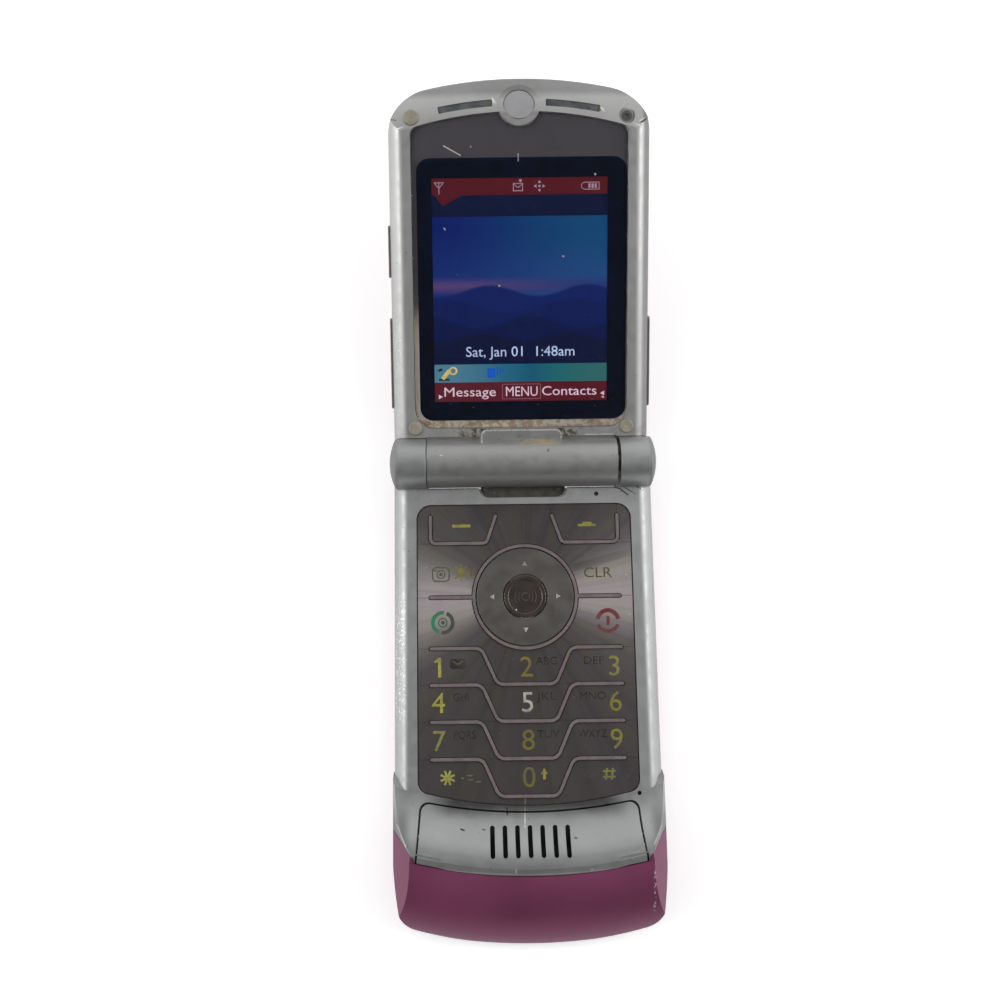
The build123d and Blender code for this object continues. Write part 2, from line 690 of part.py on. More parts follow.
def hinge_barrel():
    """Middle barrel of the hinge, with the tongue that carries the lid and its bores."""
    barrel = rod(BARREL_RADIUS, -BARREL_HALF, BARREL_HALF)
    neck = make_face(Polyline((0, -0.9), (LID_START, -0.9), (LID_START, -6.3), (3.2, -6.0),
                              (0.4, -BARREL_RADIUS), (0, -0.9)))
    plane = Plane(origin=(-BARREL_HALF, 0, 0), x_dir=(0, 1, 0), z_dir=(1, 0, 0))
    barrel += extrude(plane * neck, 2 * BARREL_HALF, dir=(1, 0, 0))
    barrel += box(-TAB_HALF, TAB_HALF, 2.0, TAB_END, -1.2, TAB_TOP)
    corners = barrel.edges().filter_by(Axis.Z).group_by(Axis.Y)[-1]
    barrel = fillet(corners, 1.0)
    barrel -= rod(CARTRIDGE_RADIUS, -BARREL_HALF - 1, -2)
    return barrel - rod(PIN_RADIUS + RUN_CLEARANCE, 13.5, BARREL_HALF + 1)


def hinge_cartridge():
    """Spring and cam cartridge pressed into the barrel."""
    return rod(CARTRIDGE_RADIUS, -BARREL_HALF + 0.1, -2.5) - rod(PIN_RADIUS + RUN_CLEARANCE, -20, -12)


# ---- lid shells ---------------------------------------------------------------------------------
def lid_profile(w):
    """Side profile of the lid's far end."""
    top = LID_FACE - w
    low = LID_BACK + w
    shoulder = (SLOPE_START - 0.3 * w, top)
    lip = (75.2 - 0.9 * w, -4.0 - 0.6 * w)
    return [
        [(45, top), shoulder],
        [shoulder, (72.2 - 0.5 * w, -1.75 - w), lip],
        [lip, (LID_REACH - w, -4.9), (74.9 - w, low)],
        [(74.9 - w, low), (45, low)],
        [(45, low), (45, top)],
    ]


def lid_form(start, w=0.0):
    """The lid's outer form from start on, or its inside at w below the skin."""
    top = LID_FACE - w
    low = LID_BACK + w
    tip = swing(lid_profile(w), LID_ARC_CENTRE, 1)
    tip &= slab(rounded_end(LID_HALF - w, 0, LID_REACH - w, LID_ARC_CENTRE, LID_CORNER - 0.8 * w, 1), -10, 5)
    whole = box(-30, 30, start, 57, low, top) + tip
    return whole & side_prism(LID_HALF - w, low, top, 2.6 - w, RAIL_RADIUS - w, start, 90)


def lens_outline(grow):
    """Plan of the display window, which dips round the emblem at the top."""
    face = rounded_end(LENS_HALF + grow, LENS_START - grow, LENS_END + grow, LENS_ARC_CENTRE, 1.8, 1)
    face = fillet(start_corners(face, 1), 4 + grow)
    return face - Pos(0, EMBLEM_V) * Circle(EMBLEM_RING + 0.1 - grow)


def lid_bumpers():
    """Three rubber bumpers. The right one at the top is missing and leaves its pocket open."""
    u, v, radius = TOP_BUMPER
    pieces = [post(radius, -u, v, BUMPER_SEAT, -0.5)]
    u, v, radius = FOOT_BUMPER
    pieces += [post(radius, side * u, v, BUMPER_SEAT, 0.24) for side in (-1, 1)]
    return [chamfer(piece.edges().group_by(Axis.Z)[-1], 0.25) for piece in pieces]


def bumper_places():
    """Plan places of all four bumper pockets."""
    return [(side * u, v, radius) for u, v, radius in (TOP_BUMPER, FOOT_BUMPER) for side in (-1, 1)]


def lid_screws(socket=True):
    """One screw at the bottom of each bumper pocket, with or without its drive socket."""
    pieces = []
    for u, v, _ in bumper_places():
        screw = post(1.05, u, v, -2.25, BUMPER_SEAT) + post(0.6, u, v, COVER_Z, -2.25)
        if socket:
            screw -= Pos(u, v, BUMPER_SEAT - 0.35) * extrude(RegularPolygon(0.5, 6), 0.5)
        pieces.append(screw)
    return pieces


def side_key(side, span, height=SIDE_KEY_HEIGHT, back=0.25):
    """A key in the lid's side, with the flange that keeps it in."""
    start, end = span
    middle = (start + end) / 2
    half = (end - start) / 2
    inner = LID_HALF - WALL - back
    bar = box(inner, SIDE_KEY_OUT, middle - half, middle + half, SIDE_KEY_Z - height / 2, SIDE_KEY_Z + height / 2)
    bar = fillet(bar.edges().filter_by(Axis.X), height / 2 - 0.05)
    flange = box(inner - 0.8, inner, middle - half - 0.7, middle + half + 0.7, SIDE_KEY_Z - 0.95, SIDE_KEY_Z + 1.1)
    whole = bar + flange
    return whole if side > 0 else mirror(whole, Plane.YZ)


def side_window(side, span):
    """Opening in the lid's side for a key."""
    start, end = span
    height = SIDE_KEY_HEIGHT + 0.2
    window = box(LID_HALF - 2, 30, start - 0.12, end + 0.12, SIDE_KEY_Z - height / 2, SIDE_KEY_Z + height / 2)
    window = fillet(window.edges().filter_by(Axis.X), height / 2 - 0.05)
    return window if side > 0 else mirror(window, Plane.YZ)


def emblem_frame(shape):
    """Tilts a piece drawn about the origin into the emblem's place."""
    return Pos(0, EMBLEM_V, EMBLEM_Z) * Rot(-EMBLEM_TILT, 0, 0) * shape


def earpiece_slots():
    """The two slots in front of the earpiece, with square ends."""
    centre = (0, LID_ARC_CENTRE)
    start, sweep = EAR_SPAN
    outer = CenterArc(centre, EAR_ARC + EAR_SLOT / 2, 90 + start, sweep)
    inner = CenterArc(centre, EAR_ARC - EAR_SLOT / 2, 90 + start, sweep)
    plan = make_face([outer, Line(outer @ 1, inner @ 1), inner, Line(inner @ 0, outer @ 0)])
    plan = fillet(plan.vertices(), 0.2)
    return slab(plan + mirror(plan, Plane.YZ), PANEL_BACK, 1)


def lid_shells():
    """Inner bezel and outer cover of the lid."""
    skin = lid_form(LID_SADDLE_START)
    hollow = lid_form(LID_START + WALL, WALL)
    barrel_room = box(SADDLE_GAP - CAP_START, CAP_START - SADDLE_GAP, 0, LID_START, -10, 5)
    shell = skin - hollow - barrel_room - cap_saddle(SADDLE_GAP, 0)

    bezel = shell & box(-40, 40, 0, 90, COVER_Z, 5)
    bezel += emblem_frame(post(EMBLEM_RING, 0, 0, -1.1, 0.05)) & box(-9, 9, 60, 75.6, -8, -0.22)
    bezel -= emblem_frame(post(EMBLEM_RADIUS + 0.06, 0, 0, -0.6, 3))
    for u, v, radius in bumper_places():
        bezel += post(radius + 0.5, u, v, COVER_Z, BUMPER_SEAT) & skin
        bezel -= post(radius, u, v, BUMPER_SEAT, 2)
    bezel -= slab(lens_outline(0.06), LENS_SEAT, 2)
    bezel -= box(-19.6, 19.6, 10.3, 60.2, -5, 1)
    bezel -= earpiece_slots()
    bezel -= box(-TAB_HALF - 0.1, TAB_HALF + 0.1, 0, TAB_END + 0.1, -1.3, 2)
    for side, span in ((-1, SMART_SPAN), (-1, VOLUME_SPAN), (1, VOICE_SPAN)):
        bezel -= side_window(side, span)

    cover = shell & box(-40, 40, 0, 90, -8, COVER_Z - 0.06)
    cover -= slab(outer_lens_plan(0.05), -8, -4)
    cover -= post(CAMERA_RADIUS + 0.05, 0, CAMERA_V, -8, -4)
    return {"lid_bezel": bezel - join(lid_screws(socket=False)), "lid_outer_cover": cover}


def outer_lens_plan(grow):
    """Plan of the small outer display."""
    half, start, end = OUTER_LENS
    return Pos(0, (start + end) / 2) * RectangleRounded(2 * (half + grow), end - start + 2 * grow, 3)


def lid_board():
    """Lid board with the side keys' switches."""
    board = box(-22, 22, 10.4, LID_BOARD_END, LID_BOARD_BACK, PANEL_BACK)
    switch_x = LID_HALF - 3.8
    for side, span in ((-1, SMART_SPAN), (-1, VOLUME_SPAN), (1, VOICE_SPAN)):
        middle = (span[0] + span[1]) / 2
        board += box(side * switch_x - 1.1, side * switch_x + 1.1, middle - 2, middle + 2, LID_BOARD_BACK, -2.4)
    return board - post(CAMERA_RADIUS + 0.1, 0, CAMERA_V, -5, -3)


def camera_module():
    """Camera with a stepped front and a hollow in front of its lens."""
    body = post(CAMERA_RADIUS, 0, CAMERA_V, -6.75, PANEL_BACK - 0.1)
    body -= post(2.3, 0, CAMERA_V, -7, -6.3)
    return body - post(1.1, 0, CAMERA_V, -7, -6.0)


def build():
    """Every sub-part by name, in its place."""
    plates = key_plates()
    base = dict(base_shells())
    base["base_screws"] = Compound(base_screws())
    base["door_latch"] = door_latch()
    base["charging_socket"] = charging_socket()
    base["main_circuit_board"] = circuit_board()
    base["battery_pack"] = battery_pack()
    base["vibration_motor"] = vibration_motor()
    base["vibration_weight"] = vibration_weight()
    base["loudspeaker"] = loudspeaker()
    base["antenna_element"] = antenna_element()
    base["keypad_sheet"] = Compound(keypad_sheet(plates))
    base["keypad_light_guide"] = light_guide()
    base["dome_sheet"] = dome_sheet()
    base["microphone"] = microphone()
    base["nav_actuator"] = nav_actuator()
    base["nav_ring"] = nav_ring()
    base["select_key"] = select_key()
    for name, spot in PRESS_SPOTS.items():
        base[name] = key(plate_at(plates, spot), spot)
    base["hinge_cap_left"] = hinge_cap(-1)
    base["hinge_cap_right"] = hinge_cap(1)
    base["hinge_cam_shaft"] = hinge_shaft(-22, -12.5)
    base["hinge_stub_pin"] = hinge_shaft(13.8, 22)

    lid = dict(lid_shells())
    lid["main_display_lens"] = slab(lens_outline(0), LENS_SEAT, LENS_TOP)
    lid["main_display_panel"] = box(-19.4, 19.4, 10.5, 60.0, PANEL_BACK, LENS_SEAT)
    lid["lid_circuit_board"] = lid_board()
    lid["outer_display_lens"] = slab(outer_lens_plan(0), LID_BACK, -5.8)
    lid["outer_display_panel"] = box(-13, 13, 26, 46, -5.8, LID_BOARD_BACK)
    lid["camera_module"] = camera_module()
    lid["earpiece_speaker"] = slab(Pos(0, 65) * RectangleRounded(13, 7.6, 2), -4.4, -1.9)
    lid["earpiece_emblem"] = emblem_frame(post(EMBLEM_RADIUS, 0, 0, -0.6, -0.02))
    lid["lid_bumpers"] = Compound(lid_bumpers())
    lid["lid_screws"] = Compound(lid_screws())
    lid["hinge_barrel"] = hinge_barrel()
    lid["hinge_cartridge"] = hinge_cartridge()
    lid["smart_key"] = side_key(-1, SMART_SPAN)
    lid["volume_rocker"] = side_key(-1, VOLUME_SPAN, back=0.4)
    lid["voice_key"] = side_key(1, VOICE_SPAN)

    whole = {name: settle(shape) for name, shape in base.items()}
    whole.update({name: raise_lid(shape) for name, shape in lid.items()})
    return whole


os.makedirs("parts", exist_ok=True)
for part_name, part_shape in build().items():
    save(part_name, part_shape)
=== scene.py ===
"""Looks of an open clamshell phone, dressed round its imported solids.

A piece is drawn in millimetres, in the base's frame or the lid's, and is then laid in its place in
metres. In the base's frame y is minus the distance from the hinge axis and z is the height over the
desk. In the lid's frame y is the distance from the hinge axis and z the height over that axis, with
the lid lying flat.
"""

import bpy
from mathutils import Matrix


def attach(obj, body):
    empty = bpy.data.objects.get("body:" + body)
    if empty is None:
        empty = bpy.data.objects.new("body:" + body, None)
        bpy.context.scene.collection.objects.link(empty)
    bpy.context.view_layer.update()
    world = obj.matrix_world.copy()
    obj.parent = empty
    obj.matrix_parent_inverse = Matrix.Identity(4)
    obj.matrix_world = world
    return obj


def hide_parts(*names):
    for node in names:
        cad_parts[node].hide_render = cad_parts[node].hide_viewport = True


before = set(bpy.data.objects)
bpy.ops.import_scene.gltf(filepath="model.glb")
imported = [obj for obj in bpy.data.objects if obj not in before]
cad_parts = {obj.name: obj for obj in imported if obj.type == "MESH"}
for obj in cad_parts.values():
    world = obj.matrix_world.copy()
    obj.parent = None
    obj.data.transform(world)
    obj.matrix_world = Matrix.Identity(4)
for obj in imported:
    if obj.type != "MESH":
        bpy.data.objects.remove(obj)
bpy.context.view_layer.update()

import logging
from collections.abc import Callable, Iterator, Sequence
from contextlib import contextmanager
from dataclasses import dataclass
from enum import Enum
from math import cos, hypot, pi, radians, sin

import bmesh
import bpy
from mathutils import Matrix, Vector

LOG = logging.getLogger("phone")
MM = 0.001
HINGE = Vector((0.0, 0.046, 0.0073))
LID_PLAY = Vector((-0.00025, 0.0, 0.0))          # the hinge's side play, taken up to the left
BASE_ORIGIN = Vector((0.0, 0.046, 0.0))
LID_RISE = radians(18.0)
CAP_SHARE = 0.682            # height of a capital letter over the size of its type
LIFT = 0.004                 # how far a stroke stands over another that it crosses

Point = tuple[float, float, float]
Plan = tuple[float, float]
Colour = tuple[float, float, float]
Step = tuple[float, float, float, float]         # from, to, and the values at both


class Placing(Enum):
    """The two frames in which pieces are drawn."""

    BASE = "base"
    LID = "lid"

    @property
    def matrix(self) -> Matrix:
        """Takes a drawing in millimetres to its place in metres."""
        if self is Placing.BASE:
            return Matrix.Translation(BASE_ORIGIN) @ Matrix.Scale(MM, 4)
        raised = Matrix.Translation(HINGE + LID_PLAY) @ Matrix.Rotation(LID_RISE, 4, "X")
        return raised @ Matrix.Scale(MM, 4)


class Part(Enum):
    """What an edit selects."""

    VERT = "VERT"
    EDGE = "EDGE"
    FACE = "FACE"


def shade(red: float, green: float, blue: float) -> Colour:
    """Turns display values from 0 to 255 into a linear colour."""
    return tuple(
        (value / 255 / 12.92) if value <= 10.3 else ((value / 255 + 0.055) / 1.055) ** 2.4
        for value in (red, green, blue)
    )


def times(colour: Colour, *factors: float) -> Colour:
    """A colour made darker or lighter, by one factor or by one for each of its parts."""
    each = factors if len(factors) > 1 else factors * 3
    return tuple(min(value * factor, 1.0) for value, factor in zip(colour, each))


@dataclass(frozen=True)
class Mark:
    """A straight scratch or streak between two plan points."""

    start: Plan
    end: Plan
    width: float
    colour: Colour


def strokes(colour: Colour, *rows: tuple[float, float, float, float, float]) -> tuple[Mark, ...]:
    """Marks of one colour, each a row of start, end and width."""
    return tuple(Mark((x, y), (to_x, to_y), width, colour) for x, y, to_x, to_y, width in rows)


# ---- node trees ---------------------------------------------------------------------------------
class Signal:
    """A value in a node tree. Sums are written as on numbers, and each adds a Math node."""

    def __init__(self, graph: "Graph", socket: bpy.types.NodeSocket) -> None:
        """The value that this socket of the graph carries."""
        self.graph = graph
        self.socket = socket

    def __add__(self, other: object) -> "Signal":
        """The sum."""
        return self.graph.maths("ADD", self, other)

    def __sub__(self, other: object) -> "Signal":
        """The difference."""
        return self.graph.maths("SUBTRACT", self, other)

    def __rsub__(self, other: float) -> "Signal":
        """The difference from a plain number."""
        return self.graph.maths("SUBTRACT", other, self)

    def __mul__(self, other: object) -> "Signal":
        """The product, which of two masks is what lies in both."""
        return self.graph.maths("MULTIPLY", self, other)

    def __pow__(self, power: float) -> "Signal":
        """The power."""
        return self.graph.maths("POWER", self, power)

    def __or__(self, other: object) -> "Signal":
        """The greater one, which of two masks is what lies in either."""
        return self.graph.maths("MAXIMUM", self, other)

    def __abs__(self) -> "Signal":
        """The size without its sign."""
        return self.graph.maths("ABSOLUTE", self)


class Graph:
    """A node tree that is being built."""

    def __init__(self, tree: bpy.types.NodeTree) -> None:
        """Goes on with that tree."""
        self.tree = tree

    def feed(self, socket: bpy.types.NodeSocket, value: object) -> None:
        """Links a socket to a signal or another socket, or sets it to a plain value."""
        if isinstance(value, Signal):
            value = value.socket
        if isinstance(value, bpy.types.NodeSocket):
            self.tree.links.new(value, socket)
        elif isinstance(value, tuple) and socket.type == "RGBA":
            socket.default_value = (*value, 1.0)
        else:
            socket.default_value = value

    def node(self, kind: str, *inputs: object, **settings: object) -> bpy.types.Node:
        """Adds a node with those settings and feeds its first inputs in their order."""
        made = self.tree.nodes.new("ShaderNode" + kind)
        for key, value in settings.items():
            setattr(made, key, value)
        for socket, value in zip(made.inputs, inputs):
            self.feed(socket, value)
        return made

    def fill(self, made: bpy.types.Node, **values: object) -> bpy.types.Node:
        """Feeds a node's inputs by their names, in lower case with underscores."""
        names = {socket.name.lower().replace(" ", "_"): socket for socket in made.inputs}
        for key, value in values.items():
            self.feed(names[key], value)
        return made

    def maths(self, kind: str, *values: object) -> Signal:
        """One sum on plain numbers or signals."""
        return Signal(self, self.node("Math", *values, operation=kind).outputs[0])

    def split(self, vector: bpy.types.NodeSocket) -> tuple[Signal, ...]:
        """The three parts of a vector."""
        return tuple(Signal(self, part) for part in self.node("SeparateXYZ", vector).outputs)

    def vector(self, *parts: Signal) -> bpy.types.NodeSocket:
        """A vector from its first parts, with 0 for the others."""
        return self.node("CombineXYZ", *parts).outputs[0]

    def ramp(self, value: object, low: float, high: float, out_low: float = 0.0, out_high: float = 1.0,
             kind: str = "SMOOTHSTEP") -> Signal:
        """A step of value from low to high."""
        made = self.node("MapRange", value, low, high, out_low, out_high, interpolation_type=kind)
        return Signal(self, made.outputs[0])

    def band(self, value: object, low: float, high: float, soft: float = 0.05) -> Signal:
        """1 between low and high, 0 outside, with soft edges."""
        return self.ramp(value, low - soft, low + soft) * self.ramp(value, high - soft, high + soft, 1.0, 0.0)

    def looked_along(self) -> Signal:
        """1 for a ray that an onlooker sees by, straight, in a mirror or through glass, else 0."""
        rays = self.node("LightPath").outputs
        straight, mirrored, through = (
            Signal(self, rays[f"Is {kind} Ray"]) for kind in ("Camera", "Glossy", "Transmission"))
        return straight | mirrored | through


class Recipe(Graph):
    """One material's nodes. Its patterns lie in millimetres, in the frame of its placing."""

    def __init__(self, name: str, placing: Placing) -> None:
        """Starts a material of that name."""
        self.material = bpy.data.materials.new(name)
        self.material.use_nodes = True
        super().__init__(self.material.node_tree)
        self.surface = self.tree.nodes["Principled BSDF"]
        self.output = self.tree.nodes["Material Output"]
        inverse = placing.matrix.inverted()
        self.spot = self.mapped(self.node("TexCoord").outputs["Object"], location=inverse.to_translation(),
                                rotation=inverse.to_euler(), scale=inverse.to_scale())
        self.x, self.y, _ = self.split(self.spot)

    def mapped(self, place: bpy.types.NodeSocket, **values: object) -> bpy.types.NodeSocket:
        """A place that a Mapping node moves, turns or scales."""
        return self.fill(self.node("Mapping", place, vector_type="POINT"), **values).outputs[0]

    def stretch(self, across: float, along: float, turn: float = 0.0) -> bpy.types.NodeSocket:
        """The coordinates turned about z by degrees and then scaled, for a pattern with a grain."""
        return self.mapped(self.mapped(self.spot, rotation=(0, 0, radians(turn))), scale=(across, along, 1.0))

    def noise(self, scale: float, detail: float = 2.0, rough: float = 0.5,
              where: bpy.types.NodeSocket | None = None) -> Signal:
        """Cloudy noise with that many waves in a millimetre."""
        made = self.node("TexNoise", where or self.spot)
        return Signal(self, self.fill(made, scale=scale, detail=detail, roughness=rough).outputs["Fac"])

    def specks(self, scale: float, reach: float, edge: float) -> Signal:
        """Scattered round specks: 1 within reach of a point and 0 beyond edge, in shares of their spacing."""
        made = self.fill(self.node("TexVoronoi", self.spot), scale=scale)
        return self.ramp(made.outputs["Distance"], reach, edge, 1.0, 0.0)

    def distance(self, centre: Plan) -> Signal:
        """How far a place lies from a plan point."""
        across, along = self.x - centre[0], self.y - centre[1]
        return self.maths("SQRT", across * across + along * along)

    def near(self, centre: Plan, reach: float, soft: float) -> Signal:
        """1 within reach of a plan point, fading to 0 over soft."""
        return self.ramp(self.distance(centre), reach, reach + soft, 1.0, 0.0)

    def stroke(self, mark: Mark) -> Signal:
        """1 along a mark."""
        run, rise = mark.end[0] - mark.start[0], mark.end[1] - mark.start[1]
        length = hypot(run, rise)
        run, rise = run / length, rise / length
        across, along = self.x - mark.start[0], self.y - mark.start[1]
        thin = self.ramp(abs(across * rise - along * run), mark.width * 0.4, mark.width * 0.6, 1.0, 0.0)
        return thin * self.band(across * run + along * rise, 0.0, length, mark.width)

    def blend(self, share: object, first: object, second: object) -> Signal:
        """The first colour, turning into the second as share goes to 1."""
        made = self.node("Mix", data_type="RGBA")
        for number, value in ((0, share), (6, first), (7, second)):
            self.feed(made.inputs[number], value)
        return Signal(self, made.outputs[2])

    def paint(self, colour: object, *layers: tuple[object, object]) -> Signal:
        """A colour with layers over it, each with its share and its own colour."""
        for share, over in layers:
            colour = self.blend(share, colour, over)
        return colour

    def marked(self, colour: Signal, marks: Sequence[Mark], share: object = 1.0) -> Signal:
        """A colour with marks over it, which hold that share."""
        return self.paint(colour, *((self.stroke(mark) * share, mark.colour) for mark in marks))

    def mottle(self, tone: Signal, low: float, high: float, colour: Colour, deep: float,
               light: float) -> Signal:
        """A colour that goes from a deep to a light share of itself as tone goes from low to high."""
        return self.blend(self.ramp(tone, low, high), times(colour, deep), times(colour, light))

    def uneven(self, cloud: Signal, least: float, most: float) -> Signal:
        """A value that wanders between two ends with a cloud."""
        return self.ramp(cloud, 0.3, 0.7, least, most)

    def tint(self, value: object, stops: Sequence[tuple[float, Colour]]) -> Signal:
        """A row of colours along value."""
        made = self.node("ValToRGB", value)
        row = made.color_ramp.elements
        while len(row) < len(stops):
            row.new(0.5)
        for element, (place, colour) in zip(row, stops):
            element.position = place
            element.color = (*colour, 1.0)
        return Signal(self, made.outputs[0])

    def relief(self, height: Signal, depth: float, share: float) -> None:
        """Bumps the surface by depth millimetres."""
        bump = self.fill(self.node("Bump"), strength=share, distance=depth * MM, height=height)
        self.put(normal=bump.outputs[0])

    def put(self, **values: object) -> None:
        """Feeds the surface's inputs by their names."""
        self.fill(self.surface, **values)

    def clear_where(self, share: bpy.types.NodeSocket) -> None:
        """Lets light straight through where share is 1."""
        clear = self.node("BsdfTransparent").outputs[0]
        mixed = self.node("MixShader", share, self.surface.outputs[0], clear)
        self.feed(self.output.inputs["Surface"], mixed.outputs[0])


# ---- finishes -----------------------------------------------------------------------------------
@dataclass(frozen=True)
class Finish:
    """A surface finish and the name of a material slot, which nothing here reads. Its material is made once
    and then shared.
    """

    name: str
    placing: Placing = Placing.BASE
    slot: str = ""

    def material(self) -> bpy.types.Material:
        """The finish's material."""
        known = bpy.data.materials.get(self.name)
        if known is not None and known.get("phone_finish"):
            return known
        recipe = Recipe(self.name, self.placing)
        self.brew(recipe)
        recipe.material["phone_finish"] = True
        return recipe.material

    def brew(self, recipe: Recipe) -> None:
        """Fills the recipe. Each kind of finish has its own."""
        raise NotImplementedError


PALE = shade(222, 220, 210)
DARK = shade(34, 32, 30)
BROWN = shade(96, 66, 40)
PAINTED_SHADOW = shade(60, 60, 60)
RIM_HIGHLIGHT = shade(222, 221, 214)
HAZE = shade(190, 190, 190)


@dataclass(frozen=True)
class SilverLacquer(Finish):
    """Satin silver lacquer with fine flake, one speckled rail, scuffs, scratches and soiling, and with
    painted shade and a painted highlight on the chin.
    """

    colour: Colour = shade(161, 162, 162)
    worn: Colour = shade(228, 228, 222)
    grime: Colour = shade(72, 58, 42)
    # colour of the painted shade on the chin, and on the lid's tip and right rail
    dull: Colour = shade(66, 65, 67)
    metal: float = 0.84
    gloss: float = 0.46
    rail: float = 23.4
    rubbed: Plan = (-51.0, -27.0)
    rub_bite: Plan = (0.56, 0.61)
    # ridge, bow, shares, corner and brow place the painted shade and the painted highlight on the chin
    ridge: float = 79.75
    ridge_bow: float = 0.0039
    ridge_share: float = 0.94
    crest: float = 0.22
    crest_share: float = 0.45
    corner_half: Plan = (22.6, 24.6)
    corner_end: Step = (-71.0, -66.0, 0.56, 0.0)
    brow: Plan = (-69.0, -65.0)
    brow_half: Step = (14.0, 21.0, 0.95, 0.0)
    marks: tuple[Mark, ...] = ()

    def brew(self, recipe: Recipe) -> None:
        """Flake, cloudy tone, the rubbed rail, marks, painted shade and highlight, and soiling, which on the
        hinge caps is painted shade.
        """
        flake = recipe.noise(14.0, 1.0)
        tone = recipe.noise(0.07, 3.0) * 0.16 + flake * 0.22
        side = recipe.ramp(recipe.x * -1.0, self.rail, self.rail + 0.9)
        bites = recipe.ramp(recipe.noise(2.6, 3.0, 0.7), *self.rub_bite)
        rub = side * bites * recipe.band(recipe.y, *self.rubbed, soft=5.0)
        scuffs = recipe.ramp(recipe.noise(1.0, 3.0, 0.6, recipe.stretch(0.25, 6.0, 38.0)), 0.71, 0.77)
        nicks = recipe.specks(0.42, 0.035, 0.055)
        colour = recipe.paint(recipe.mottle(tone, 0.06, 0.32, self.colour, 0.84, 1.14),
                              (rub * 0.75, self.worn), (scuffs * 0.2, self.worn), (nicks * 0.7, DARK))
        ragged = recipe.ramp(recipe.noise(2.2, 2.0, 0.6), 0.30, 0.45)
        colour = self.shading(recipe, recipe.marked(colour, self.marks, ragged))
        # brown soiling, worn primer on the barrel, and painted shade on the caps' domes, which darkens the
        # colour and takes away metal and gloss
        dirt = self.dirt(recipe)
        rough = recipe.uneven(recipe.noise(0.5), self.gloss - 0.03, self.gloss + 0.05) + dirt * 0.3
        recipe.put(base_color=recipe.blend(dirt, colour, self.grime), metallic=self.metal - dirt * self.metal,
                   roughness=rough, coat_weight=0.15, coat_roughness=0.3)
        recipe.relief(flake * 0.35 + recipe.noise(1.6) - nicks * 3.0, 0.004, 0.5)

    def shading(self, recipe: Recipe, colour: Signal) -> Signal:
        """Painted shade on the chin's corners, brow and below its ridge, and a painted highlight along the
        ridge.
        """
        arc = recipe.x * recipe.x * self.ridge_bow - recipe.y
        corner = recipe.ramp(abs(recipe.x), *self.corner_half) * recipe.ramp(recipe.y, *self.corner_end)
        brow = recipe.band(recipe.y, *self.brow, 1.8) * recipe.ramp(abs(recipe.x), *self.brow_half)
        # painted shade on the chin's corners, its brow and the band below its ridge
        below = recipe.ramp(arc, self.ridge, self.ridge + 0.25) | corner | brow
        # painted highlight along the ridge, in the pale colour of the wear
        crest = recipe.band(arc, self.ridge - self.crest, self.ridge, 0.08)
        return recipe.paint(colour, (below * self.ridge_share, self.dull),
                            (crest * self.crest_share, self.worn))

    def dirt(self, recipe: Recipe) -> Signal:
        """Grime gathered on the keypad frame beside the hinge."""
        patch = recipe.ramp(recipe.noise(1.1, 4.0, 0.65), 0.52, 0.68)
        edge = recipe.band(recipe.y, -5.9, -4.9, 0.4)
        return patch * (recipe.near((21.8, -5.6), 0.6, 2.4) | edge * 0.4)


@dataclass(frozen=True)
class CapLacquer(SilverLacquer):
    """The same lacquer on the hinge's end caps, with painted shade on their domed ends."""

    # colour of the painted shade on the domes
    grime: Colour = shade(84, 84, 85)

    def dirt(self, recipe: Recipe) -> Signal:
        """Painted shade on the domed ends, which also makes them less metallic and rougher."""
        return recipe.ramp(abs(recipe.x), 24.8, 26.2, 0.0, 0.7)


@dataclass(frozen=True)
class LidLacquer(SilverLacquer):
    """The same lacquer on the lid, with painted shade at its tip and on its right rail, and brown soiling
    along the hinge.
    """

    colour: Colour = shade(171, 171, 170)
    rubbed: Plan = (14.0, 30.0)
    rub_bite: Plan = (0.6, 0.66)
    # where the painted shade on the lid lies
    tip: Step = (71.4, 73.4, 0.0, 0.46)
    right_rail: Step = (24.0, 24.8, 0.0, 0.55)

    def shading(self, recipe: Recipe, colour: Signal) -> Signal:
        """Painted shade along the lid's tip and on its right rail."""
        # painted shade on the tip and the right rail
        shaded_area = recipe.ramp(recipe.y, *self.tip) | recipe.ramp(recipe.x, *self.right_rail)
        return recipe.blend(shaded_area, colour, self.dull)

    def dirt(self, recipe: Recipe) -> Signal:
        """Grime beside the hinge tab and along the foot of the window."""
        patch = recipe.ramp(recipe.noise(0.9, 5.0, 0.68), 0.42, 0.62)
        foot = recipe.ramp(recipe.y, 6.8, 8.4, 1.0, 0.0)
        sides = recipe.near((-9.8, 6.0), 0.8, 5.4) | recipe.near((9.9, 6.3), 0.8, 3.2)
        return patch * foot * (sides * 0.95 + 0.16)


@dataclass(frozen=True)
class WornBarrelLacquer(LidLacquer):
    """The hinge barrel's lacquer, worn through to yellow primer at the root of its tab."""

    colour: Colour = shade(159, 159, 158)
    grime: Colour = shade(158, 132, 84)

    def dirt(self, recipe: Recipe) -> Signal:
        """The worn patch, a thin ragged line along the tab's root."""
        patch = recipe.ramp(recipe.noise(1.4, 4.0, 0.6, recipe.stretch(0.5, 1.6)), 0.44, 0.56)
        return patch * recipe.band(recipe.x, -0.8, 6.6, 1.2) * recipe.band(recipe.y, 3.9, 5.0, 0.35) * 0.8


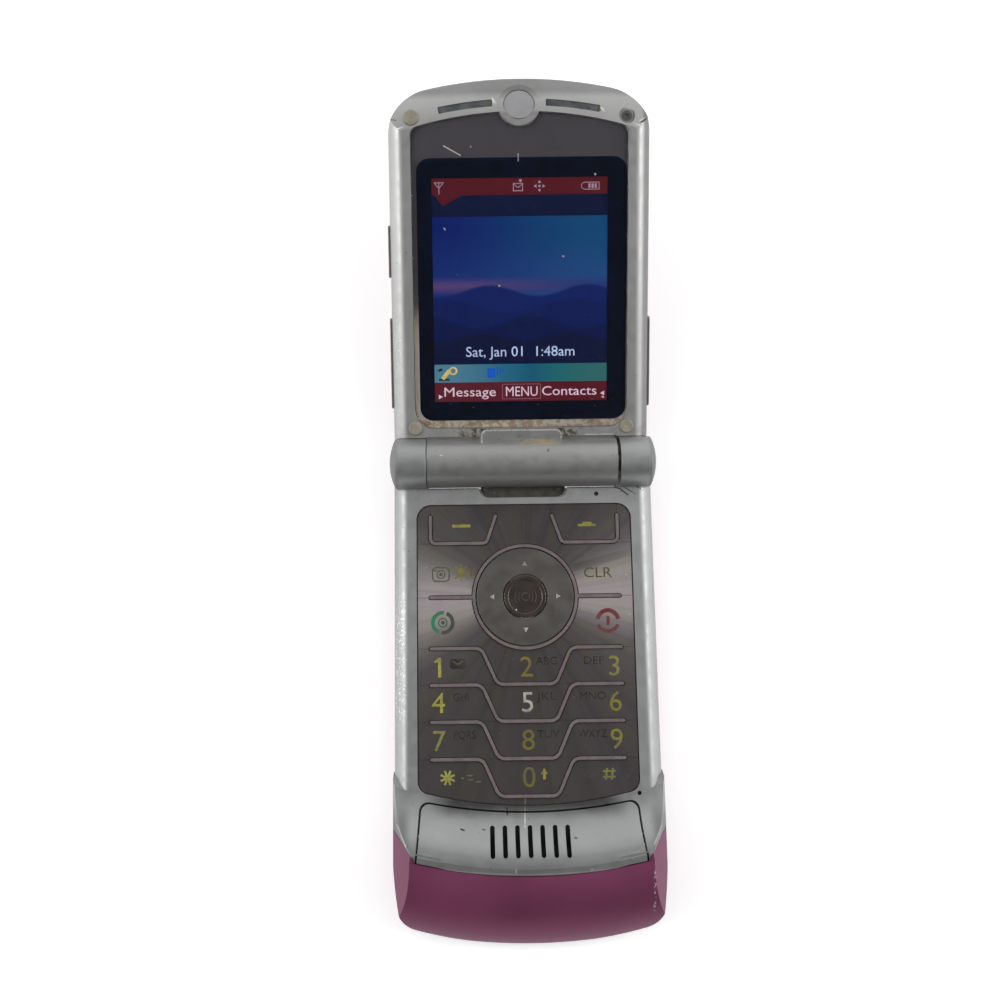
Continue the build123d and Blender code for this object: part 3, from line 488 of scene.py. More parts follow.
@dataclass(frozen=True)
class MagentaLacquer(Finish):
    """Satin magenta lacquer with fine flake, chipped between two places across and two along."""

    colour: Colour = shade(118, 60, 89)
    chip: Colour = shade(206, 190, 198)
    chipped_across: Plan = (22.85, 23.25)
    chipped_along: Plan = (-87.5, -79.4)

    def brew(self, recipe: Recipe) -> None:
        """Flake, cloudy tone and chips."""
        cloud = recipe.noise(0.05)
        flake = recipe.noise(16.0, 1.0)
        side = recipe.band(recipe.x, *self.chipped_across, 0.12)
        edge = side * recipe.band(recipe.y, *self.chipped_along, 0.6)
        chips = recipe.ramp(recipe.noise(1.0, 3.0, 0.7, recipe.stretch(2.4, 1.6)), 0.52, 0.56)
        worn = edge * chips | recipe.specks(0.16, 0.022, 0.034) * 0.6
        colour = recipe.mottle(cloud * 0.5 + flake * 0.3, 0.25, 0.55, self.colour, 0.86, 1.16)
        recipe.put(base_color=recipe.blend(worn * 0.85, colour, self.chip), metallic=0.4,
                   roughness=recipe.uneven(cloud, 0.44, 0.52), specular_ior_level=0.2)
        recipe.relief(flake + worn * -2.0, 0.004, 0.4)


@dataclass(frozen=True)
class TurnedNickel(Finish):
    """Dark nickel sheet, brushed in circles about the navigation ring, so light fans out from it."""

    colour: Colour = shade(128, 124, 122)
    shadow: Colour = shade(96, 94, 94)
    violet: Colour = (1.02, 0.96, 1.06)
    straw: Colour = (1.04, 1.02, 0.94)
    centre: Plan = (0.0, -27.15)
    gloss: float = 0.375
    grain: float = 0.97
    marks: tuple[Mark, ...] = ()

    def brew(self, recipe: Recipe) -> None:
        """Circular grain, faint rainbow tints, finger grease and nicks."""
        across, along = recipe.x - self.centre[0], recipe.y - self.centre[1]
        turn = recipe.maths("ARCTAN2", along, across)
        groove = recipe.noise(1.0, 3.0, 0.7, recipe.vector(recipe.distance(self.centre) * 9.0))
        wheel = recipe.noise(1.0, 2.0, 0.5, recipe.vector(turn * 5.0))
        spokes = recipe.noise(1.0, 2.0, 0.6, recipe.vector(turn * 9.0))
        smear = recipe.noise(0.16, 3.0, 0.6)
        colour = recipe.paint(
            times(self.colour, *self.violet),
            (recipe.ramp(wheel, 0.4, 0.6), times(self.colour, *self.straw)),
            (recipe.ramp(spokes, 0.42, 0.66, 0.0, 0.3), self.shadow),
            (recipe.ramp(smear, 0.45, 0.7, 0.0, 0.35), times(self.colour, 0.8)),
            (recipe.specks(0.5, 0.035, 0.055) * 0.6, PALE),
        )
        rough = recipe.uneven(smear, self.gloss - 0.04, self.gloss + 0.05) + groove * 0.05
        recipe.put(base_color=recipe.marked(colour, self.marks), metallic=1.0, roughness=rough,
                   anisotropic=self.grain, tangent=recipe.vector(across, along))
        recipe.relief(groove, 0.0012, 0.35)


@dataclass(frozen=True)
class SatinNickel(Finish):
    """Satin nickel with a straight fine grain."""

    colour: Colour = shade(132, 129, 124)
    gloss: float = 0.36

    def brew(self, recipe: Recipe) -> None:
        """Straight grain and smears."""
        grain = recipe.noise(1.0, 3.0, 0.7, recipe.stretch(14.0, 0.5))
        smear = recipe.noise(0.3, 3.0)
        colour = recipe.mottle(grain * 0.3 + smear * 0.7, 0.35, 0.65, self.colour, 0.94, 1.06)
        recipe.put(base_color=colour, metallic=0.95,
                   roughness=recipe.uneven(smear, self.gloss - 0.02, self.gloss + 0.03))
        recipe.relief(grain, 0.002, 0.4)


@dataclass(frozen=True)
class Moulding(Finish):
    """Moulded plastic, rubber, cloth or ink: two colours in cloudy patches and a fine grain."""

    colour: Colour = shade(40, 40, 42)
    second: Colour = shade(28, 28, 30)
    rough: float = 0.5
    grain: float = 8.0
    depth: float = 0.006
    metal: float = 0.0
    soft: float = 0.0
    glow: float = 0.0
    shine: float = 0.5

    def brew(self, recipe: Recipe) -> None:
        """Cloudy tone and a fine moulded grain."""
        cloud = recipe.noise(0.45, 3.0)
        grain = recipe.noise(self.grain)
        colour = recipe.blend(recipe.ramp(cloud * 0.7 + grain * 0.3, 0.35, 0.65), self.colour, self.second)
        recipe.put(base_color=colour, metallic=self.metal, specular_ior_level=self.shine,
                   roughness=recipe.uneven(cloud, self.rough - 0.06, self.rough + 0.06))
        if self.soft:
            recipe.put(subsurface_weight=self.soft, subsurface_scale=0.4 * MM)
        if self.glow:
            recipe.put(emission_color=colour, emission_strength=self.glow)
        recipe.relief(grain, self.depth, 0.5)


def moulded(name: str, first: Colour, second: Colour, placing: Placing = Placing.BASE, slot: str = "",
            **settings: float) -> Moulding:
    """A moulding with both colours in display values."""
    return Moulding(name, placing, slot, shade(*first), shade(*second), **settings)


@dataclass(frozen=True)
class ClearWindow(Finish):
    """Clear hard-coated acrylic with a few scratches and specks of dust."""

    marks: tuple[Mark, ...] = ()
    clean: Colour = (0.98, 0.98, 0.98)
    density: float = 1.22

    def brew(self, recipe: Recipe) -> None:
        """Scratches and dust lie in the surface as pale, rough marks."""
        fine = recipe.ramp(recipe.noise(1.0, 2.0, 0.6, recipe.stretch(0.3, 7.0, 31.0)), 0.775, 0.80)
        hair = fine * 0.25 | recipe.specks(0.35, 0.03, 0.045) * 0.5
        for mark in self.marks:
            hair = hair | recipe.stroke(mark)
        rough = hair * 0.4
        recipe.put(base_color=recipe.blend(hair, self.clean, HAZE), roughness=rough,
                   transmission_weight=1.0 - rough, ior=self.density)
        recipe.relief(hair, -0.003, 0.3)
        recipe.clear_where(recipe.node("LightPath").outputs["Is Shadow Ray"])


@dataclass(frozen=True)
class PrintedMargin(Finish):
    """Print behind the window outside its black mask: dark grey above, worn silver grey below."""

    dark: Colour = shade(59, 57, 60)
    pale: Colour = shade(146, 142, 128)
    brown: Colour = shade(104, 78, 52)
    bloom: Colour = shade(70, 64, 74)

    def brew(self, recipe: Recipe) -> None:
        """Grey fading to worn silver towards the hinge, with brown soiling along the foot."""
        height = recipe.y - recipe.noise(0.25, 3.0) * 12.0
        foot = recipe.ramp(recipe.y, 8.4, 9.4, 1.0, 0.0)
        patch = recipe.ramp(recipe.noise(0.8, 4.0, 0.65), 0.42, 0.58)
        colour = recipe.paint(
            self.dark,
            (recipe.ramp(height, 18.0, 30.0, 1.0, 0.0), self.pale),
            (foot * patch * 0.7, self.brown),
            (recipe.ramp(recipe.noise(0.25), 0.35, 0.75, 0.0, 0.25), self.bloom),
        )
        recipe.put(base_color=colour, roughness=0.5, specular_ior_level=0.05)
        recipe.relief(recipe.noise(6.0), 0.003, 0.3)


@dataclass(frozen=True)
class Crest:
    """One row of waves: its height, swing, waves in a millimetre, start and colour."""

    row: float
    swing: float
    pace: float
    start: float
    colour: Colour


@dataclass(frozen=True)
class LitPicture(Finish):
    """A small colour display: bars above and below a plain dusk-coloured backdrop of soft waves."""

    off: Colour = (0.004, 0.005, 0.008)
    glow: float = 0.86
    sides: Plan = (-17.35, 17.35)
    night: tuple[Plan, Colour] = ((48.92, 49.08), shade(4, 12, 48))
    bar: tuple[Plan, Colour] = ((53.07, 53.23), shade(84, 15, 22))
    lower_bar_top: Step = (19.9, 20.05, 1.0, 0.0)
    foot_top: Step = (16.3, 16.45, 1.0, 0.0)
    foot: tuple[Colour, Colour] = (shade(90, 26, 34), shade(86, 12, 22))
    cyans: tuple[tuple[float, Colour], ...] = (
        (0.0, shade(78, 128, 150)), (0.35, shade(36, 104, 134)), (0.6, shade(18, 88, 116)),
        (0.8, shade(26, 104, 108)), (1.0, shade(46, 104, 104)),
    )
    sky: tuple[tuple[Colour, Colour], ...] = (
        (shade(14, 42, 112), shade(30, 70, 128)), (shade(2, 24, 100), shade(5, 70, 116)),
        (shade(96, 68, 114), shade(34, 50, 112)),
    )
    crests: tuple[Crest, ...] = (
        Crest(34.6, 1.1, 0.32, 0.4, shade(8, 28, 94)), Crest(31.6, 1.3, 0.24, 2.1, shade(6, 23, 84)),
        Crest(28.4, 1.2, 0.3, 4.0, shade(4, 16, 68)), Crest(25.4, 0.8, 0.36, 1.2, shade(3, 11, 50)),
    )

    def brew(self, recipe: Recipe) -> None:
        """Backdrop, bars and the display's own light."""
        across = recipe.ramp(recipe.x, *self.sides)
        left = recipe.ramp(recipe.y + recipe.x * 1.35, 30.4, 30.7)
        right = recipe.ramp(recipe.y - recipe.x * 0.52, 58.95, 59.15)
        colour = recipe.paint(
            self.waves(recipe, across),
            (recipe.ramp(recipe.y, *self.night[0]), self.night[1]),
            (left * right | recipe.ramp(recipe.y, *self.bar[0]), self.bar[1]),
            (recipe.ramp(recipe.y, *self.lower_bar_top), recipe.tint(across, self.cyans)),
            (recipe.ramp(recipe.y, *self.foot_top), recipe.blend(across, *self.foot)),
        )
        recipe.put(base_color=self.off, roughness=0.4, specular_ior_level=0.03,
                   emission_color=colour, emission_strength=self.glow)
        recipe.relief(recipe.maths("SINE", recipe.x * 28.0), 0.001, 0.1)

    def waves(self, recipe: Recipe, across: Signal) -> Signal:
        """A pale dusk sky over rows of soft dark waves."""
        middle, high, warm = (recipe.blend(across, *ends) for ends in self.sky)
        colour = recipe.paint(middle, (recipe.ramp(recipe.y, 36.0, 47.0), high),
                              (recipe.band(recipe.y, 34.6, 36.4, 1.2) * 0.8, warm))
        for crest in self.crests:
            wave = recipe.maths("SINE", recipe.x * crest.pace + crest.start)
            under = recipe.ramp(recipe.y + wave * crest.swing, crest.row - 0.5, crest.row + 0.3, 1.0, 0.0)
            colour = recipe.blend(under, colour, crest.colour)
        return colour


@dataclass(frozen=True)
class BoardLacquer(Finish):
    """Green solder resist with copper runs showing through it."""

    resist: Colour = shade(16, 62, 34)
    run: Colour = shade(34, 92, 48)
    gold: Colour = shade(190, 160, 80)

    def brew(self, recipe: Recipe) -> None:
        """Runs and pads under green resist."""
        runs = recipe.ramp(recipe.noise(1.0, 0.0, 0.5, recipe.stretch(2.4, 0.35)), 0.50, 0.53)
        copper = runs | recipe.ramp(recipe.noise(1.0, 0.0, 0.5, recipe.stretch(0.35, 2.4)), 0.53, 0.56)
        pads = recipe.specks(0.55, 0.16, 0.19)
        colour = recipe.paint(self.resist, (copper, self.run), (pads * 0.8, self.gold))
        recipe.put(base_color=colour, roughness=0.32, metallic=pads * 0.7)
        recipe.relief(copper + pads, 0.02, 0.5)


SILVER = SilverLacquer("silver_lacquer", slot="silver_paint", marks=(
    # the last two pale strokes are painted highlights along the silver's edge over the pink at the chin's
    # sides; the others are scratches
    *strokes(PALE, (-0.8, -66.2, -0.95, -71.7, 0.26), (4.0, -68.8, 4.8, -68.7, 0.25),
             (11.0, -78.9, 11.5, -78.8, 0.3), (-3.0, -78.6, -3.0, -79.4, 0.24),
             (-25.7, -70.8, -23.7, -74.6, 0.3), (25.3, -71.4, 23.3, -74.6, 0.3)),
    *strokes(DARK, (-4.45, -68.0, -4.25, -69.4, 0.34), (17.6, -4.9, 19.7, -5.6, 0.18),
             (19.6, -5.5, 21.3, -6.9, 0.26), (20.4, -5.2, 22.4, -6.4, 0.16), (22.9, -5.0, 24.3, -5.9, 0.16),
             (-13.4, -71.8, -12.6, -72.1, 0.3), (-9.2, -71.9, -8.6, -72.1, 0.2),
             (14.9, -67.5, 15.4, -67.7, 0.4), (8.5, -73.6, 8.9, -73.7, 0.36)),
    # painted shadow lines on the keypad frame under the hinge barrel
    *strokes(PAINTED_SHADOW, (-19.2, -4.7, -9.2, -4.7, 1.1), (9.2, -4.7, 19.2, -4.7, 1.1)),
))
LID_SILVER = LidLacquer("lid_silver_lacquer", Placing.LID, "silver_paint", marks=(
    *strokes(PALE, (12.9, 5.6, 18.8, 5.6, 0.2), (-5.2, 71.6, -4.7, 70.6, 0.42)),
    *strokes(BROWN, (15.1, 69.7, 15.9, 69.0, 0.5)),
    *strokes(PALE, (16.0, 69.6, 16.6, 68.9, 0.4)),
    *strokes(DARK, (23.7, 66.5, 25.1, 67.4, 0.22)),
    *strokes(PALE, (23.6, 66.9, 24.9, 67.7, 0.2)),
    *strokes(DARK, (-24.0, 67.6, -25.4, 67.8, 0.14)),
))
CAP_SILVER = CapLacquer("hinge_cap_lacquer", slot="silver_paint")
BARREL_SILVER = WornBarrelLacquer("hinge_barrel_lacquer", Placing.LID, "silver_paint", marks=(
    # painted highlight round the rim of the hinge tab
    *strokes(RIM_HIGHLIGHT, (-8.05, 4.3, -8.05, 6.2, 0.36), (8.05, 4.9, 8.05, 6.2, 0.36),
             (-8.0, 6.15, -7.2, 6.85, 0.36), (8.0, 6.15, 7.2, 6.85, 0.36), (-7.2, 6.8, 7.2, 6.8, 0.36)),
    *strokes(DARK, (5.15, 2.8, 5.3, 3.1, 0.4)),
    *strokes(PALE, (-16.4, 2.2, -15.9, 2.2, 0.2)),
))
MAGENTA = MagentaLacquer("magenta_lacquer", slot="pink_paint")
LID_MAGENTA = MagentaLacquer("lid_magenta_lacquer", Placing.LID, "pink_paint",
                             chipped_across=(30.0, 31.0), chipped_along=(0.0, 1.0))
SHEET_NICKEL = TurnedNickel("turned_nickel_sheet", slot="key_metal", marks=(
    *strokes(PALE, (-0.7, -65.4, -0.8, -67.4, 0.14)),
    *strokes(shade(112, 108, 106), (9.4, -21.6, 20.6, -18.6, 1.5)),
    *strokes(shade(132, 128, 126), (9.4, -19.0, 12.4, -17.4, 0.24)),
))
RING_NICKEL = SatinNickel("satin_nickel", slot="nav_metal", colour=shade(114, 111, 106), gloss=0.42)
SELECT_NICKEL = SatinNickel("polished_select_nickel", slot="key_metal", colour=shade(112, 101, 97),
                            gloss=0.26)
EMBLEM_POLISH = SatinNickel("emblem_polish", Placing.LID, "emblem_chrome", shade(178, 178, 180), 0.24)
STEEL = SatinNickel("screw_steel", colour=shade(150, 148, 142), gloss=0.3)
RIB_PLASTIC = moulded("rib_plastic", (116, 104, 105), (98, 88, 89), slot="light_guide", rough=0.45, grain=3.0,
                      soft=0.15)
BLACK = Moulding("black_moulding")
PEG_GREY = moulded("peg_grey", (88, 86, 80), (64, 62, 56), rough=0.4)
RUBBER = moulded("bumper_rubber_worn", (150, 145, 130), (128, 125, 108), Placing.LID, "bumper_rubber",
                 rough=0.62, grain=5.0, depth=0.02)
KEY_GREY = moulded("side_key_silver", (128, 128, 127), (112, 112, 111), Placing.LID, "side_key_plastic",
                   rough=0.4, metal=0.5)
FILM = moulded("dome_film_clear", (190, 182, 160), (170, 162, 142), rough=0.4)
WRAP = moulded("battery_wrap_dark", (58, 60, 64), (48, 50, 54), rough=0.45)
# painted shadow in the seam round the chin plate
SEAM_SHADOW_DARK = moulded("seam_dark", (26, 25, 24), (18, 17, 16), rough=0.7, shine=0.1)
SPEAKER_CLOTH = moulded("speaker_cloth", (30, 30, 31), (16, 16, 17), rough=0.8, grain=4.0, depth=0.05)
EAR_CLOTH = moulded("ear_cloth_weave", (92, 97, 98), (60, 62, 66), Placing.LID, rough=0.6, grain=5.0,
                    depth=0.05)
# dark floor of the tab's recess: soiling and painted shade together
RECESS_SOIL_AND_SHADE = moulded("recess_grime", (66, 64, 56), (46, 44, 39), rough=0.6, grain=1.6, depth=0.05)
ARROW_WHITE = moulded("arrow_white", (184, 184, 174), (122, 120, 112), rough=0.4, grain=3.0)
WORN_MARK = moulded("worn_mark", (112, 98, 92), (66, 58, 55), rough=0.4, grain=2.0, metal=0.4)
NICK_PALE = moulded("nick_pale", (222, 220, 210), (190, 188, 178))
# dark adhesive under the window's edge, which also paints the shade in the seam round the window
GLUE_AND_SEAM_SHADE = moulded("window_glue_dark", (34, 32, 30), (22, 21, 20), Placing.LID, rough=0.6, shine=0.1)
MASK_BLACK = moulded("mask_black", (8, 14, 30), (5, 9, 19), Placing.LID, rough=0.4, grain=1.0, depth=0.001,
                     shine=0.03)
MODULE_BLACK = moulded("display_module_black", (20, 24, 30), (12, 15, 20), Placing.LID, rough=0.25)
SMOKED = moulded("outer_window_smoked", (24, 26, 32), (18, 20, 26), Placing.LID, rough=0.12, grain=1.0,
                 depth=0.001)
MARGIN_PRINT = PrintedMargin("printed_margin", Placing.LID)
PICTURE = LitPicture("lit_picture", Placing.LID, "display_module")
WINDOW = ClearWindow("scratched_window", Placing.LID, "screen_glass", marks=strokes(
    HAZE, (-14.9, 62.6, -11.5, 60.7, 0.15), (-0.25, 61.0, -0.22, 59.4, 0.1), (14.8, 57.0, 15.0, 56.7, 0.22),
    (-15.0, 46.8, -14.8, 46.6, 0.3), (-9.6, 62.4, -9.4, 62.35, 0.2), (16.3, 13.2, 16.8, 13.1, 0.3),
    (-4.3, 35.6, -4.0, 35.4, 0.24), (8.4, 41.2, 8.8, 41.0, 0.2)))


# ---- the modelling bench ------------------------------------------------------------------------
class Bench:
    """Blender's operators, used on one object at a time."""

    @staticmethod
    def take(piece: bpy.types.Object) -> None:
        """Selects that object alone."""
        bpy.ops.object.select_all(action="DESELECT")
        piece.select_set(True)
        bpy.context.view_layer.objects.active = piece

    @staticmethod
    @contextmanager
    def editing(piece: bpy.types.Object) -> Iterator[None]:
        """Edit mode on that object, with everything selected at the start."""
        Bench.take(piece)
        bpy.ops.object.mode_set(mode="EDIT")
        bpy.ops.mesh.select_all(action="SELECT")
        yield
        bpy.ops.object.mode_set(mode="OBJECT")

    @staticmethod
    def pick(piece: bpy.types.Object, part: Part, test: Callable[[object], bool]) -> None:
        """In edit mode, selects the vertices, edges or faces that pass the test."""
        bpy.ops.mesh.select_mode(type=part.value)
        bpy.ops.mesh.select_all(action="DESELECT")
        mesh = bmesh.from_edit_mesh(piece.data)
        mesh.normal_update()
        rows = {Part.VERT: mesh.verts, Part.EDGE: mesh.edges, Part.FACE: mesh.faces}
        for element in rows[part]:
            if test(element):
                element.select_set(True)
        mesh.select_flush_mode()
        bmesh.update_edit_mesh(piece.data)

    @staticmethod
    def move(piece: bpy.types.Object, test: Callable[[object], bool], by: Point) -> None:
        """Moves the vertices that pass the test."""
        with Bench.editing(piece):
            Bench.pick(piece, Part.VERT, test)
            bpy.ops.transform.translate(value=by)

    @staticmethod
    def made(name: str) -> bpy.types.Object:
        """The object that the last operator made, named."""
        piece = bpy.context.view_layer.objects.active
        piece.name = name
        piece.data.name = name
        return piece

    @staticmethod
    def modify(piece: bpy.types.Object, kind: str, **settings: object) -> None:
        """Adds a modifier with those settings and applies it."""
        Bench.take(piece)
        bpy.ops.object.modifier_add(type=kind)
        modifier = piece.modifiers[-1]
        for key, value in settings.items():
            setattr(modifier, key, value)
        bpy.ops.object.modifier_apply(modifier=modifier.name)

    @staticmethod
    def copy_of(node: str, name: str, placing: Placing = Placing.BASE) -> bpy.types.Object:
        """A merged copy of a CAD node's mesh in the millimetres of that placing."""
        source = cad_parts[node]
        mesh = source.data.copy()
        mesh.materials.clear()
        mesh.transform(placing.matrix.inverted() @ source.matrix_world)
        piece = bpy.data.objects.new(name, mesh)
        bpy.context.scene.collection.objects.link(piece)
        with Bench.editing(piece):
            bpy.ops.mesh.remove_doubles(threshold=0.002)
            bpy.ops.mesh.dissolve_limited(angle_limit=radians(0.4))
        return piece

    @staticmethod
    def soften(piece: bpy.types.Object, width: float, segments: int = 2) -> None:
        """Rounds the sharp edges by width and smooths the shading."""
        Bench.modify(piece, "BEVEL", width=width, segments=segments, limit_method="ANGLE",
                     angle_limit=radians(32.0), use_clamp_overlap=True)
        Bench.smooth(piece)

    @staticmethod
    def smooth(piece: bpy.types.Object, angle: float = 36.0) -> None:
        """Smooth shading that keeps flats flat."""
        Bench.take(piece)
        bpy.ops.object.shade_smooth_by_angle(angle=radians(angle))
        Bench.modify(piece, "WEIGHTED_NORMAL", keep_sharp=True)

    @staticmethod
    def draw_in(piece: bpy.types.Object, depth: float,
                test: Callable[[object], bool] = lambda face: True) -> None:
        """Moves the upright faces that pass the test inwards by depth, which opens the seam beside them."""
        with Bench.editing(piece):
            Bench.pick(piece, Part.FACE, lambda face: abs(face.normal.z) < 0.5 and test(face))
            bpy.ops.transform.shrink_fatten(value=-depth, use_even_offset=True)

    @staticmethod
    def raise_faces(height: float) -> None:
        """In edit mode, draws the selected flat faces up and turns all normals outwards."""
        bpy.ops.mesh.extrude_region_move(TRANSFORM_OT_translate={"value": (0, 0, height)})
        bpy.ops.mesh.select_all(action="SELECT")
        bpy.ops.mesh.normals_make_consistent(inside=False)

    @staticmethod
    def apply_place(piece: bpy.types.Object) -> None:
        """Takes the object's place, turn and scale up in its mesh."""
        Bench.take(piece)
        bpy.ops.object.transform_apply(location=True, rotation=True, scale=True)

    @staticmethod
    def plate(name: str, centre: Plan, size: Plan, levels: Plan, corner: float = 0.0,
              turn: float = 0.0) -> bpy.types.Object:
        """A plate with rounded corners, from a plane.

        Args:
            name: the object's name.
            centre: middle in plan.
            size: width and length.
            levels: lower and upper face.
            corner: radius of its corners in plan.
            turn: degrees about z.

        Returns:
            The plate.
        """
        bpy.ops.mesh.primitive_plane_add(size=1, location=(*centre, levels[0]),
                                         rotation=(0, 0, radians(turn)))
        piece = Bench.made(name)
        piece.scale = (*size, 1)
        Bench.apply_place(piece)
        with Bench.editing(piece):
            if corner:
                bpy.ops.mesh.bevel(offset=corner, segments=6, affect="VERTICES")
                bpy.ops.mesh.select_all(action="SELECT")
            Bench.raise_faces(levels[1] - levels[0])
        return piece

    @staticmethod
    def disc(name: str, centre: Plan, radius: float, levels: Plan, sides: int = 48,
             hole: float = 0.0, keep: Callable[[float, float], bool] | None = None,
             turn: float = 0.0) -> bpy.types.Object:
        """A disc, polygon, ring or part of a ring, from a circle.

        Args:
            name: the object's name.
            centre: middle in plan.
            radius: outer radius.
            levels: lower and upper face.
            sides: edges round it.
            hole: radius of the opening, or 0 for none.
            keep: which stretch of a ring stays, told its plan place from the middle.
            turn: degrees about z.

        Returns:
            The disc or ring.
        """
        bpy.ops.mesh.primitive_circle_add(vertices=sides, radius=radius, fill_type="NGON",
                                          location=(*centre, levels[0]), rotation=(0, 0, radians(turn)))
        piece = Bench.made(name)
        Bench.apply_place(piece)
        with Bench.editing(piece):
            if hole:
                bpy.ops.mesh.inset(thickness=(radius - hole) * cos(radians(180 / sides)))
                bpy.ops.mesh.delete(type="FACE")
            if keep is not None:
                Bench.pick(piece, Part.FACE, lambda face: not keep(face.calc_center_median().x - centre[0],
                                                                   face.calc_center_median().y - centre[1]))
                bpy.ops.mesh.delete(type="FACE")
            bpy.ops.mesh.select_all(action="SELECT")
            Bench.raise_faces(levels[1] - levels[0])
        return piece

    @staticmethod
    def letters(text: str, height: float, foot: Plan, levels: Plan, wide: float = 0.0) -> bpy.types.Object:
        """Raised letters as a mesh.

        Args:
            text: what they say.
            height: height of a capital.
            foot: middle of the line's foot in plan.
            levels: lower and upper face.
            wide: width of the whole line, or 0 for the type's own.

        Returns:
            The letters.
        """
        bpy.ops.object.text_add(location=(*foot, (levels[0] + levels[1]) / 2))
        piece = Bench.made("letters")
        piece.data.body = text
        piece.data.align_x = "CENTER"
        piece.data.align_y = "TOP_BASELINE"
        piece.data.size = height / CAP_SHARE
        piece.data.resolution_u = 3
        piece.data.extrude = (levels[1] - levels[0]) / 2
        bpy.ops.object.convert(target="MESH")
        piece = Bench.made("letters")
        if wide:
            piece.scale = (wide / piece.dimensions.x, 1, 1)
        Bench.apply_place(piece)
        with Bench.editing(piece):
            bpy.ops.mesh.remove_doubles(threshold=0.001)
            bpy.ops.mesh.normals_make_consistent(inside=False)
        return piece

    @staticmethod
    def join(name: str, pieces: Sequence[bpy.types.Object]) -> bpy.types.Object:
        """Several objects as one."""
        Bench.take(pieces[0])
        for piece in pieces[1:]:
            piece.select_set(True)
        if len(pieces) > 1:
            bpy.ops.object.join()
        return Bench.made(name)

    @staticmethod
    def cut(piece: bpy.types.Object, tool: bpy.types.Object) -> None:
        """Takes the tool's room out of the piece and removes the tool."""
        Bench.modify(piece, "BOOLEAN", operation="DIFFERENCE", object=tool, solver="EXACT")
        Bench.take(tool)
        bpy.ops.object.delete()

    @staticmethod
    def lay(piece: bpy.types.Object, body: str, finish: Finish, node: str = "") -> None:
        """Puts a drawn piece in its place, dresses it and makes it ride on its body.

        Args:
            piece: the piece, drawn in the frame of its finish.
            body: what it rides on.
            finish: its surface.
            node: the CAD node that it stands for, if it does.
        """
        piece.matrix_world = finish.placing.matrix
        Bench.apply_place(piece)
        piece.data.materials.clear()
        piece.data.materials.append(finish.material())
        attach(piece, body)
        if node:
            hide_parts(node)
        LOG.info("%s rides on %s, %s", piece.name, body, finish.name)


@dataclass(frozen=True)
class Shell:
    """A piece that stands for a CAD node: a copy of it with its edges rounded by edge."""

    node: str
    name: str
    finish: Finish
    edge: float
    body: str = "base"
    segments: int = 2

    def build(self, shape: Callable[[bpy.types.Object], None] | None = None) -> None:
        """Copies the node, lets shape change the copy, rounds it and lays it in its place."""
        piece = Bench.copy_of(self.node, self.name, self.finish.placing)
        if shape:
            shape(piece)
        Bench.soften(piece, self.edge, self.segments)
        Bench.lay(piece, self.body, self.finish, self.node)


@dataclass
class Signs:
    """Signs drawn with straight strokes between two levels, with rounded corners."""

    levels: Plan = (0.0, 1.0)
    corner: float = 0.0

    def bar(self, x: float, y: float, wide: float, tall: float, turn: float = 0.0,
            corner: float | None = None, lift: float = 0.0) -> bpy.types.Object:
        """One straight stroke, lifted a hair where it crosses another."""
        levels = (self.levels[0], self.levels[1] + lift)
        corner = self.corner if corner is None else corner
        return Bench.plate("bar", (x, y), (wide, tall), levels, corner, turn)

    def bars(self, *rows: Sequence[float]) -> list[bpy.types.Object]:
        """Several strokes, each a row of what bar takes."""
        return [self.bar(*row) for row in rows]

    def disc(self, place: Plan, radius: float, **settings: object) -> bpy.types.Object:
        """One round stroke."""
        return Bench.disc("disc", place, radius, self.levels, **settings)


